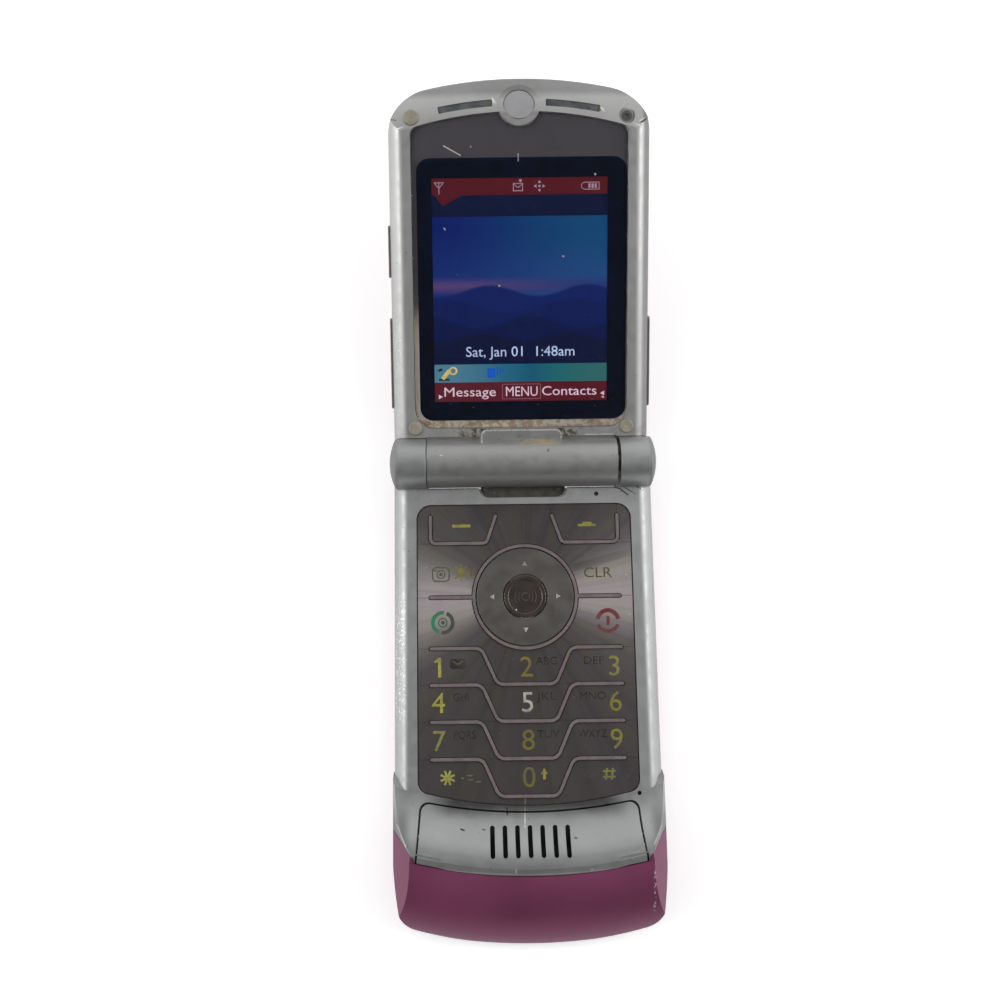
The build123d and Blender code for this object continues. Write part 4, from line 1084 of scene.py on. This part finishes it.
# ---- base ---------------------------------------------------------------------------------------
@dataclass
class BaseShells:
    """The base's covers, with softened edges."""

    edge: float = 0.11
    mesh_half: float = 8.6
    mesh_row: float = -74.3
    mesh_depth: float = 6.2
    cloth_levels: Plan = (6.72, 6.98)
    recess_half: float = 8.55
    recess_floor: float = 5.9
    recess_row: float = -3.9
    recess_depth: float = 5.9
    shoulder_half: float = 26.0
    shoulder_ends: Plan = (-62.0, -61.0)
    shoulder_levels: Plan = (6.95, 6.1)
    shoulder_lean: Plan = (1.85, 1.11)
    peg_height: float = 0.16
    seam: float = 0.14
    seam_sunk: float = 0.3
    seam_thick: float = 0.3
    seam_front: float = -70.0

    def build(self) -> None:
        """Builds every cover of the base."""
        edge = self.edge
        Shell("base_front_housing", "keypad_frame", SILVER, edge).build(self.lean_shoulders)
        Shell("chin_front_cover", "chin_plate", SILVER, edge).build(
            lambda piece: Bench.draw_in(piece, self.seam, self.on_outline))
        Shell("antenna_cover", "chin_end_cover", MAGENTA, edge).build()
        Shell("base_rear_housing", "back_housing", MAGENTA, edge).build()
        Shell("battery_door", "door", MAGENTA, 0.18, "battery_door_body").build()
        Shell("door_latch", "latch", MAGENTA, 0.06, "door_latch_body").build()
        self.seam_shadow()
        self.speaker_mesh()
        self.recess()

    def lean_shoulders(self, piece: bpy.types.Object) -> None:
        """Leans back the tips of the square shoulders behind the rails, so that each rail runs out softly."""
        front, back = self.shoulder_ends
        for level, lean in zip(self.shoulder_levels, self.shoulder_lean):
            Bench.move(piece, lambda vertex: (
                abs(vertex.co.x) > self.shoulder_half and front < vertex.co.y < back
                and level < vertex.co.z < level + 0.3), (0, -lean, 0))

    def seam_shadow(self) -> None:
        """A dark strip down in the seam round the chin plate: a painted shadow that makes the seam look
        black.
        """
        piece = Bench.copy_of("chin_front_cover", "chin_seam_shadow")
        with Bench.editing(piece):
            Bench.pick(piece, Part.FACE, lambda face: not (
                abs(face.normal.z) < 0.5 and self.on_outline(face)
                and (abs(face.normal.x) > 0.5 or face.calc_center_median().y > self.seam_front)))
            bpy.ops.mesh.delete(type="FACE")
            bpy.ops.mesh.select_all(action="SELECT")
            bpy.ops.transform.translate(value=(0, 0, -self.seam_sunk))
        Bench.modify(piece, "SOLIDIFY", thickness=self.seam_thick, offset=0.0)
        Bench.smooth(piece)
        Bench.lay(piece, "base", SEAM_SHADOW_DARK)

    def on_outline(self, face: bmesh.types.BMFace) -> bool:
        """True for a wall of the chin plate's outline, away from its slots and its front."""
        middle = face.calc_center_median()
        beside = abs(middle.x) > 2 * self.mesh_half
        return beside or middle.y > self.mesh_row + self.mesh_depth / 2 + 1

    def speaker_mesh(self) -> None:
        """Dark cloth behind the chin's slots."""
        piece = Bench.plate("speaker_cloth_pad", (0, self.mesh_row), (2 * self.mesh_half, self.mesh_depth),
                            self.cloth_levels, corner=1.6)
        Bench.soften(piece, 0.08)
        Bench.lay(piece, "base", SPEAKER_CLOTH)

    def recess(self) -> None:
        """The dark floor of the tab's recess, which stands for both its soiling and the shade in it, and the
        heads of its three small pegs.
        """
        floor = Bench.plate("recess_floor", (0, self.recess_row), (2 * self.recess_half, self.recess_depth),
                            (self.recess_floor - 0.02, self.recess_floor + 0.04), corner=1.9)
        Bench.soften(floor, 0.02, segments=1)
        Bench.lay(floor, "base", RECESS_SOIL_AND_SHADE)
        pegs = []
        for x, row, radius in ((-7.6, -5.1, 0.5), (-5.9, -5.9, 0.38), (7.3, -5.2, 0.5)):
            levels = (self.recess_floor, self.recess_floor + self.peg_height)
            pegs.append(Bench.disc("peg", (x, row), radius, levels, sides=24))
            Bench.soften(pegs[-1], 0.06)
        Bench.lay(Bench.join("recess_pegs", pegs), "base", PEG_GREY)


@dataclass
class Hinge:
    """Barrel and end caps."""

    edge: float = 0.24
    cap_edge: float = 0.1

    def build(self) -> None:
        """Softens the barrel and both caps."""
        Shell("hinge_barrel", "hinge_tube", BARREL_SILVER, self.edge, "lid", 3).build()
        for side in ("left", "right"):
            Shell(f"hinge_cap_{side}", f"hinge_end_{side}", CAP_SILVER, self.cap_edge).build()


# ---- keypad -------------------------------------------------------------------------------------
@dataclass
class Keypad(Signs):
    """Key plates, ribs, navigation ring and select key, whose worn mark lies between the levels."""

    levels: Plan = (6.83, 6.865)
    rib_top: float = 6.98
    rib_round: float = 0.2
    ring_top: float = 6.85
    nav_row: float = -27.15
    mark_x: float = 0.1
    arrow_radius: float = 6.5

    def build(self) -> None:
        """Builds every piece of the keypad."""
        keys = ["soft_key_left", "soft_key_right", "camera_key", "clear_key", "send_key", "end_key"]
        keys += [f"key_{name}" for name in (*range(1, 10), "star", 0, "hash")]
        for node in keys:
            self.plate(node, f"{node}_plate", f"{node}_body")
        self.plate("keypad_sheet", "keypad_margin", "base")
        self.ribs()
        self.ring()
        self.select()

    def plate(self, node: str, name: str, body: str) -> None:
        """One key's plate, its edges left crisp so that the etched sheet looks whole."""
        piece = Bench.copy_of(node, name)
        Bench.smooth(piece, 20.0)
        Bench.lay(piece, body, SHEET_NICKEL, node)

    def ribs(self) -> None:
        """The translucent ribs, rounded along their tops."""
        piece = Bench.copy_of("keypad_light_guide", "rib_sheet")
        with Bench.editing(piece):
            Bench.pick(piece, Part.EDGE, self.on_rib_top)
            bpy.ops.mesh.bevel(offset=self.rib_round, segments=3, affect="EDGES", clamp_overlap=True)
        Bench.smooth(piece, 50.0)
        Bench.lay(piece, "base", RIB_PLASTIC, "keypad_light_guide")

    def on_rib_top(self, edge: bmesh.types.BMEdge) -> bool:
        """True for an edge that runs round the top of a rib."""
        level = all(abs(vertex.co.z - self.rib_top) < 0.01 for vertex in edge.verts)
        return level and edge.calc_face_angle(0.0) > radians(40)

    def ring(self) -> None:
        """The navigation ring and its four worn arrows."""
        Shell("nav_ring", "nav_ring_disc", RING_NICKEL, 0.09, "nav_ring_body").build()
        levels = (self.ring_top - 0.03, self.ring_top + 0.05)
        arrows = []
        for degrees in range(0, 360, 90):
            place = (self.arrow_radius * cos(radians(degrees)),
                     self.nav_row + self.arrow_radius * sin(radians(degrees)))
            arrows.append(Bench.disc("arrow", place, 0.6, levels, sides=3, turn=degrees - 90))
        piece = Bench.join("nav_arrows", arrows)
        Bench.soften(piece, 0.03)
        Bench.lay(piece, "nav_ring_body", ARROW_WHITE)

    def select(self) -> None:
        """The select key, with a worn mark of rings and a pale nick in its dish."""
        Shell("select_key", "select_key_cap", SELECT_NICKEL, 0.07, "select_key_body").build()
        place = (self.mark_x, self.nav_row)
        rings = [self.disc(place, 0.85, sides=30, hole=0.68)]
        rings += [self.disc(place, radius, hole=radius - 0.15, keep=lambda x, y: abs(x) > 1.2 * abs(y))
                  for radius in (1.5, 2.2)]
        Bench.lay(Bench.join("select_key_mark", rings), "select_key_body", WORN_MARK)
        nick = self.disc((-1.8, self.nav_row - 2.6), 0.16, sides=10)
        Bench.lay(Bench.join("select_key_nick", [nick]), "select_key_body", NICK_PALE)


@dataclass(frozen=True)
class Legend:
    """A number key's digit with its place and ink, in display values, and its small letters with theirs."""

    sign: str
    x: float
    row: float
    ink: Colour
    small: str = ""
    small_x: float = 0.0
    small_wide: float = 0.0


@dataclass
class Legends(Signs):
    """Signs inlaid in the keys, a hair proud of the metal."""

    levels: Plan = (6.735, 6.765)
    corner: float = 0.12
    height: float = 3.85
    small_height: float = 1.5
    drop: float = 1.93
    small_lift: float = 0.35
    worn: Colour = shade(84, 78, 62)
    numbers: tuple[Legend, ...] = (
        Legend("2", 0.0, -41.0, (122, 106, 30), "ABC", 4.0, 4.2),
        Legend("3", 17.4, -41.0, (138, 130, 54), "DEF", 13.3, 3.9),
        Legend("4", -17.45, -47.9, (168, 164, 66), "GHI", -13.0, 3.0),
        Legend("5", 0.1, -47.9, (176, 173, 162), "JKL", 3.9, 3.9),
        Legend("6", 17.4, -47.9, (122, 120, 40), "MNO", 12.9, 5.1),
        Legend("7", -17.45, -55.2, (132, 132, 60), "PQRS", -12.4, 4.3),
        Legend("8", 0.1, -55.2, (112, 102, 16), "TUV", 4.0, 4.4),
        Legend("9", 17.4, -55.2, (122, 120, 40), "WXYZ", 12.7, 5.6),
        Legend("0", 0.1, -62.3, (104, 98, 32)),
    )

    def build(self) -> None:
        """Builds digits, letters and the signs of the function keys."""
        for legend in self.numbers:
            self.number(legend)
        self.key_signs()
        self.small_marks()
        self.camera_signs()
        letters = Bench.letters("CLR", 2.0, (14.6, -23.45), self.levels, wide=5.6)
        self.sign("clear_key", "sign", (76, 72, 30), [letters])
        self.call_signs()

    def sign(self, key: str, part: str, colour: Colour, pieces: Sequence[bpy.types.Object],
             held: float = 0.35) -> None:
        """Joins the strokes of a sign and lays it on its key.

        Args:
            key: the key that carries it.
            part: what the sign is, which names the piece after the key.
            colour: its ink, in display values.
            pieces: its strokes.
            held: the share of the ink that worn patches still hold.
        """
        ink = shade(*colour)
        worn = tuple(held * value + (1 - held) * bare for value, bare in zip(ink, self.worn))
        number = "_".join(str(round(value * 999)) for value in ink)
        finish = Moulding(f"ink_{number}", colour=ink, second=worn, rough=0.42, grain=1.6)
        Bench.lay(Bench.join(f"{key}_{part}", pieces), f"{key}_body", finish)

    def number(self, legend: Legend) -> None:
        """A digit and, beside it, its small letters."""
        key = f"key_{legend.sign}"
        digit = Bench.letters(legend.sign, self.height, (legend.x, legend.row - self.drop), self.levels)
        self.sign(key, "digit", legend.ink, [digit])
        if legend.small:
            foot = (legend.small_x, legend.row + self.small_lift)
            letters = Bench.letters(legend.small, self.small_height, foot, self.levels, legend.small_wide)
            self.sign(key, "letters", (28, 25, 22), [letters], 0.8)

    def key_signs(self) -> None:
        """The one with its flag, the soft keys' dashes, the star, the hash and the arrow beside the zero."""
        self.sign("key_1", "digit", (164, 160, 66), self.bars(
            (-17.2, -41.0, 0.62, self.height, 0.0, 0.05), (-17.75, -39.65, 1.15, 0.5, 36.0, 0.05, LIFT)))
        self.sign("soft_key_left", "dash", (156, 148, 66), self.bars((-12.6, -12.75, 3.7, 0.6)))
        self.sign("soft_key_right", "dash", (146, 140, 56), self.bars(
            (12.7, -12.85, 3.6, 0.5), (12.8, -12.5, 1.9, 0.6, 0.0, 0.28, LIFT)))
        arms = [self.bar(-15.8, -62.3, 3.0, 0.42, 45 * number + 22, lift=LIFT * number)
                for number in range(4)]
        self.sign("key_star", "sign", (158, 154, 74), arms)
        self.sign("key_hash", "sign", (116, 114, 56), self.bars(
            (15.7, -61.35, 2.5, 0.38), (15.7, -62.45, 2.5, 0.38),
            (15.15, -61.9, 0.42, 2.3, -8.0, None, LIFT), (16.3, -61.9, 0.42, 2.3, -8.0, None, LIFT)))
        self.sign("key_0", "arrow", (140, 136, 60), [
            self.disc((3.05, -61.4), 0.8, sides=3), self.bar(3.05, -62.2, 0.5, 1.2, 0.0, 0.1, LIFT)])

    def small_marks(self) -> None:
        """Faint marks beside the one, the star and the hash."""
        self.sign("key_1", "envelope", (40, 40, 38), self.bars((-13.6, -40.3, 3.1, 2.0, 0.0, 0.5)), 0.8)
        self.sign("key_1", "envelope_fold", (84, 86, 60), self.bars(
            (-14.1, -40.1, 1.3, 0.24, -35.0, 0.0, LIFT), (-13.1, -40.1, 1.3, 0.24, 35.0, 0.0, 1.5 * LIFT)))
        self.sign("key_star", "small", (104, 100, 60), self.bars(
            (-12.9, -62.4, 0.4, 0.4, 45.0, 0.0), (-11.5, -61.9, 1.2, 0.24), (-11.3, -62.7, 1.2, 0.24),
            (-9.8, -63.1, 1.1, 0.24)))
        self.sign("key_hash", "small", (66, 62, 52), self.bars(
            (11.0, -62.2, 0.5, 0.26), (12.3, -62.3, 1.2, 0.26), (12.8, -61.9, 0.26, 0.8)))

    def camera_signs(self) -> None:
        """A camera in a rounded frame, and a sun with two bars beside it."""
        place = (-16.8, -22.5)
        border = Bench.plate("frame", place, (3.6, 3.0), self.levels, corner=0.9)
        Bench.cut(border, Bench.plate("tool", place, (3.1, 2.5), (6.0, 7.0), corner=0.7))
        self.sign("camera_key", "frame", (78, 82, 48), [
            border, self.disc(place, 0.9, sides=24, hole=0.66), self.disc(place, 0.36, sides=16),
            self.bar(-17.9, -21.75, 0.5, 0.3, lift=LIFT)])
        x, y = -12.75, -22.2
        sun = [self.disc((x, y), 0.95, sides=24)]
        sun += [self.bar(x + 1.45 * cos(radians(turn)), y + 1.45 * sin(radians(turn)), 0.6, 0.32, turn, 0.0)
                for turn in range(0, 360, 45)]
        self.sign("camera_key", "sun", (122, 116, 58), sun)
        self.sign("camera_key", "bars", (84, 80, 48), self.bars(
            (-10.7, -22.1, 0.32, 1.7), (-9.95, -22.1, 0.32, 1.7), (-10.3, -22.1, 1.5, 0.26, 0.0, None, LIFT)))

    def call_signs(self) -> None:
        """Send: a ring, half green and half dark, round a dot. End: two dark red arcs round a bar."""
        place = (-16.5, -32.15)
        for part, side, colour in (("green", -1, (24, 124, 88)), ("dark", 1, (48, 62, 56))):
            arc = self.disc(place, 2.35, hole=1.62, keep=lambda x, y: side * x > 0.22 + 0.3 * y * side)
            self.sign("send_key", f"arc_{part}", colour, [arc])
        self.sign("send_key", "dot", (40, 78, 66), [
            self.disc(place, 0.95, sides=24, hole=0.72), self.disc(place, 0.4, sides=16)])
        place = (16.4, -32.1)
        self.sign("end_key", "sign", (112, 28, 40), [
            self.disc(place, 2.45, hole=1.62, keep=lambda x, y: y > 0.35),
            self.disc(place, 2.45, hole=1.75, keep=lambda x, y: y < -0.75),
            self.bar(*place, 0.6, 1.9, corner=0.28)])


# ---- lid ----------------------------------------------------------------------------------------
@dataclass
class LidShells:
    """Bezel, outer cover, emblem, bumpers, side keys and the cloth behind the earpiece slots."""

    edge: float = 0.12
    ear_arc_centre: float = -14.1
    ear_arc: Plan = (84.05, 85.52)
    ear_span: Plan = (3.5, 17.0)
    ear_levels: Plan = (-1.75, -1.5)

    def build(self) -> None:
        """Builds every shell piece of the lid."""
        Shell("lid_bezel", "lid_frame", LID_SILVER, self.edge, "lid").build()
        Shell("lid_outer_cover", "lid_back_cover", LID_MAGENTA, self.edge, "lid").build()
        Shell("lid_bumpers", "bumper_pads", RUBBER, 0.14, "lid").build()
        Shell("earpiece_emblem", "emblem_disc", EMBLEM_POLISH, 0.1, "lid").build()
        for node in ("smart_key", "volume_rocker", "voice_key"):
            Shell(node, f"{node}_bar", KEY_GREY, 0.12, f"{node}_body").build()
        self.ear_cloth()

    def ear_cloth(self) -> None:
        """Grey woven cloth behind both earpiece slots."""
        inner, outer = self.ear_arc
        near, far = self.ear_span
        strip = Bench.disc("ear_cloth", (0, self.ear_arc_centre), outer, self.ear_levels, sides=180,
                           hole=inner, keep=lambda x, y: y > 0 and near < abs(x) < far)
        Bench.smooth(strip)
        Bench.lay(strip, "lid", EAR_CLOTH)


@dataclass
class MainDisplay(Signs):
    """Clear window, printed margin, black mask and the lit picture, whose signs lie between the levels."""

    levels: Plan = (-1.135, -1.12)
    half: float = 17.35
    start: float = 12.5
    end: float = 56.4
    mask_half: float = 20.75
    mask_middle: float = 0.4
    mask_ends: Plan = (8.7, 60.3)
    mask_levels: Plan = (-1.11, -1.04)
    picture_levels: Plan = (-1.195, -1.13)
    picture_spare: float = 0.4
    print_spare: float = 1.2
    seam: float = 0.12

    def build(self) -> None:
        """Builds the stack from the window down."""
        self.window()
        self.under_edge("window_glue", -0.8, -0.78, GLUE_AND_SEAM_SHADE)
        self.under_edge("display_margin", -0.6, -0.74, MARGIN_PRINT, self.seam)
        self.mask()
        self.picture()
        self.words()
        self.status_signs()
        self.menu_signs()

    def window(self) -> None:
        """The clear window, thinned from below to leave room for its print."""
        piece = Bench.copy_of("main_display_lens", "display_window", Placing.LID)
        Bench.draw_in(piece, self.seam)
        Bench.move(piece, lambda vertex: vertex.co.z < -1.1, (0, 0, 0.2))
        Bench.soften(piece, 0.14)
        Bench.lay(piece, "lid", WINDOW, "main_display_lens")

    def under_edge(self, name: str, top: float, drop: float, finish: Finish, seam: float = 0.0) -> None:
        """A thin frame under the window's edge: dark adhesive, seen as a line round it that also stands for
        the shade in the seam, or print.

        Args:
            name: the piece's name.
            top: the height over which the window's copy is pressed down.
            drop: how far it is pressed down.
            finish: its surface.
            seam: how far its outline is drawn in.
        """
        piece = Bench.copy_of("main_display_lens", name, Placing.LID)
        if seam:
            Bench.draw_in(piece, seam)
        Bench.move(piece, lambda vertex: vertex.co.z > top, (0, 0, drop))
        Bench.cut(piece, self.block("tool", self.print_spare, (-2, 0)))
        Bench.smooth(piece)
        Bench.lay(piece, "lid", finish)

    def block(self, name: str, spare: float, levels: Plan) -> bpy.types.Object:
        """A block as large as the picture and spare more."""
        return Bench.plate(name, (0, (self.start + self.end) / 2),
                           (2 * self.half + spare, self.end - self.start + spare), levels)

    def mask(self) -> None:
        """Black frame round the picture."""
        near, far = self.mask_ends
        piece = Bench.plate("display_mask", (self.mask_middle, (near + far) / 2),
                            (2 * self.mask_half, far - near), self.mask_levels, corner=2.6)
        Bench.cut(piece, self.block("tool", 0.0, (-2, 0)))
        Bench.smooth(piece)
        Bench.lay(piece, "lid", MASK_BLACK)

    def picture(self) -> None:
        """The lit picture."""
        piece = self.block("display_picture", self.picture_spare, self.picture_levels)
        Bench.soften(piece, 0.02, segments=1)
        Bench.lay(piece, "lid", PICTURE)

    def bar(self, x: float, y: float, wide: float, tall: float, turn: float = 0.0,
            corner: float = 0.0) -> bpy.types.Object:
        """One straight stroke. The slanted and upright ones stand a hair higher."""
        return super().bar(x, y, wide, tall, turn, corner, 0.003 if turn else 0.0015 * (tall > wide))

    def ink(self, name: str, colour: Colour, pieces: Sequence[bpy.types.Object]) -> None:
        """Joins strokes and lays them on the picture in one glowing colour, given in display values."""
        bright = shade(*colour)
        finish = Moulding(f"{name}_ink", Placing.LID, colour=bright, second=times(bright, 0.8), glow=0.8,
                          shine=0.03)
        Bench.lay(Bench.join(name, pieces), "lid", finish)

    def words(self) -> None:
        """Clock line and soft key words."""
        clock = Bench.letters("Sat, Jan 01  1:48am", 1.95, (0.0, 21.5), self.levels, wide=21.8)
        self.ink("display_clock", (136, 150, 178), [clock])
        self.ink("display_words", (170, 150, 164), [
            Bench.letters("Message", 1.8, (-10.3, 13.55), self.levels, wide=10.4),
            Bench.letters("MENU", 1.9, (0.2, 13.5), self.levels, wide=6.4),
            Bench.letters("Contacts", 1.8, (9.8, 13.6), self.levels, wide=11.0),
            self.disc((-16.3, 13.5), 0.55, sides=3, turn=30),
            self.disc((16.6, 13.9), 0.55, sides=3, turn=-30)])
        self.ink("display_menu_frame", (98, 60, 72), self.bars(
            (-3.7, 14.4, 0.18, 2.9), (4.0, 14.4, 0.18, 2.9), (0.15, 12.95, 7.6, 0.16),
            (0.15, 15.9, 7.6, 0.16)))

    def status_signs(self) -> None:
        """Aerial, envelope, position and battery signs in the upper bar."""
        x, y = 3.95, 54.75
        signs = self.bars(
            (-15.9, 54.5, 0.15, 2.3), (-15.9, 55.6, 1.9, 0.15), (-16.4, 55.1, 0.14, 1.2, 40.0),
            (-15.4, 55.1, 0.14, 1.2, -40.0), (-0.3, 53.9, 2.0, 0.14), (-0.3, 55.3, 2.0, 0.14),
            (-1.2, 54.6, 0.14, 1.6), (0.6, 54.6, 0.14, 1.6), (-0.75, 54.85, 0.13, 1.2, 52.0),
            (0.15, 54.85, 0.13, 1.2, -52.0), (0.2, 55.85, 0.5, 0.5, 45.0), (x, y, 0.42, 0.42, 45.0),
            (14.3, 55.37, 2.9, 0.14), (14.3, 54.03, 2.9, 0.14), (15.7, 54.7, 0.14, 1.4))
        signs.append(self.disc((12.9, 54.7), 0.74, sides=24, hole=0.61, keep=lambda x, y: x < 0))
        signs += [self.disc((x + 0.78 * cos(radians(turn)), y + 0.78 * sin(radians(turn))), 0.38, sides=3,
                            turn=turn - 90) for turn in range(0, 360, 90)]
        signs += [self.bar(13.8 + 0.62 * number, 54.7, 0.4, 0.85) for number in range(3)]
        self.ink("display_status", (122, 104, 114), signs)

    def menu_signs(self) -> None:
        """Small blue and amber signs in the lower bar."""
        self.ink("display_book", (16, 62, 142), self.bars(
            (-5.9, 18.2, 1.6, 1.9, 0.0, 0.2), (-4.7, 18.5, 0.26, 1.7), (-4.1, 18.6, 0.26, 1.2),
            (-3.5, 18.7, 0.26, 0.7)))
        self.ink("display_pencil", (158, 138, 84), [
            self.bar(-15.0, 18.0, 2.4, 0.8, 50.0, 0.2), self.disc((-13.6, 18.7), 0.85, sides=20, hole=0.5)])
        self.ink("display_pad", (30, 30, 36), self.bars(
            (-15.4, 16.95, 2.2, 0.4, 0.0, 0.1), (-16.2, 18.9, 0.9, 0.5, 20.0, 0.1)))


# ---- inside -------------------------------------------------------------------------------------
@dataclass
class Inside:
    """CAD nodes that keep their shape."""

    def build(self) -> None:
        """Gives each inner node a better finish."""
        finishes = {
            BLACK: ("microphone", "loudspeaker", "antenna_element", "earpiece_speaker", "camera_module"),
            BoardLacquer("board_lacquer"): ("main_circuit_board", "lid_circuit_board"),
            STEEL: ("base_screws", "lid_screws", "hinge_cam_shaft", "hinge_stub_pin", "hinge_cartridge",
                    "vibration_motor", "vibration_weight", "nav_actuator", "charging_socket"),
            FILM: ("dome_sheet",),
            WRAP: ("battery_pack",),
            MODULE_BLACK: ("main_display_panel", "outer_display_panel"),
            SMOKED: ("outer_display_lens",),
        }
        for finish, nodes in finishes.items():
            for node in nodes:
                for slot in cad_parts[node].material_slots:
                    slot.material = finish.material()
                LOG.info("%s keeps its shape, %s", node, finish.name)


# ---- studio -------------------------------------------------------------------------------------
@dataclass(frozen=True)
class Softbox:
    """A rectangular lamp that looks at the phone: its place and size in metres, and its brightness."""

    name: str
    place: Point
    width: float
    height: float
    brightness: float

    def build(self) -> None:
        """Adds the lamp."""
        data = bpy.data.lights.new(self.name, "AREA")
        data.shape = "RECTANGLE"
        data.size = self.width
        data.size_y = self.height
        data.energy = self.brightness * self.width * self.height * pi
        lamp = bpy.data.objects.new(self.name, data)
        lamp.location = self.place
        lamp.rotation_euler = Vector(self.place).to_track_quat("Z", "Y").to_euler()
        bpy.context.scene.collection.objects.link(lamp)


@dataclass
class Studio:
    """Pale floor, soft light and the camera."""

    lean: float = radians(9.5)
    roll: float = radians(0.72)
    away: float = 0.235
    offset: Plan = (-0.01038, -0.00743)
    focal: float = 41.62
    sensor: float = 36.0
    shift: float = 0.028
    floor_drop: float = 0.0003
    floor_glow: float = 0.4
    sky_back: float = 1.15
    back_bite: float = 1.4
    sky_sides: float = 1.75
    side_bite: float = 5.0
    horizon: Plan = (0.15, 0.2)
    flag_depth: float = 0.72
    flag_reach: Plan = (0.84, 0.975)
    lamps: tuple[Softbox, ...] = (
        Softbox("lamp_left", (-0.52, 0.066, 0.54), 0.36, 0.12, 12.0),
        Softbox("lamp_right", (0.52, 0.112, 0.54), 0.36, 0.12, 12.0),
    )

    def build(self) -> None:
        """Builds camera, floor, sky and lamps."""
        self.camera()
        self.floor()
        self.world()
        for lamp in self.lamps:
            lamp.build()

    def camera(self) -> None:
        """The camera over the keypad, leaning back by the same angle as the view."""
        across = Vector((1, 0, 0))
        upward = Vector((0, cos(self.lean), sin(self.lean)))
        back = Vector((0, -sin(self.lean), cos(self.lean)))
        right = across * cos(self.roll) - upward * sin(self.roll)
        top = across * sin(self.roll) + upward * cos(self.roll)
        place = HINGE + across * self.offset[0] + upward * self.offset[1] + back * self.away
        data = bpy.data.cameras.new("camera")
        data.lens = self.focal
        data.sensor_width = self.sensor
        data.shift_x = self.shift
        data.clip_start = 0.01
        camera = bpy.data.objects.new("camera", data)
        turned = Matrix((right, top, back)).transposed().to_4x4()
        camera.matrix_world = Matrix.Translation(place) @ turned
        bpy.context.scene.collection.objects.link(camera)
        bpy.context.scene.camera = camera

    def floor(self) -> None:
        """A white floor that shows from above only and keeps the shadow."""
        bpy.ops.mesh.primitive_plane_add(size=6, location=(0, 0, -self.floor_drop))
        floor = Bench.made("floor")
        recipe = Recipe("floor_white", Placing.BASE)
        recipe.put(base_color=(0.9, 0.9, 0.9), roughness=0.9, specular_ior_level=0.0,
                   emission_color=(1.0, 1.0, 1.0), emission_strength=recipe.looked_along() * self.floor_glow)
        recipe.clear_where(recipe.node("NewGeometry").outputs["Backfacing"])
        floor.data.materials.append(recipe.material)

    def world(self) -> None:
        """A soft sky: bright at both sides, paler behind the phone than at the user's end, shaded
        straight above, where whoever looks at the phone stands in the light, and white at the horizon."""
        world = bpy.data.worlds.new("studio_sky")
        bpy.context.scene.world = world
        world.use_nodes = True
        graph = Graph(world.node_tree)
        x, y, z = graph.split(graph.node("TexCoord").outputs["Generated"])
        slope = (y * 0.5 + 0.5) ** self.back_bite * self.sky_back
        sides = abs(x) ** self.side_bite * self.sky_sides
        flag = graph.ramp(z, *self.flag_reach, 1.0, 1.0 - self.flag_depth)
        low = graph.ramp(z, *self.horizon, 1.0, 0.0, kind="LINEAR")
        strength = (slope + sides) * flag | graph.looked_along() * low
        graph.fill(graph.tree.nodes["Background"], color=(1.0, 1.0, 1.0), strength=strength)


def main() -> None:
    """Builds everything in order."""
    logging.basicConfig(level=logging.INFO, format="%(name)s: %(message)s")
    bpy.context.scene.view_settings.view_transform = "Standard"
    for kind in (BaseShells, Hinge, Keypad, Legends, LidShells, MainDisplay, Inside, Studio):
        kind().build()
        LOG.info("%s done", kind.__name__)


if __name__ == "__main__":
    main()
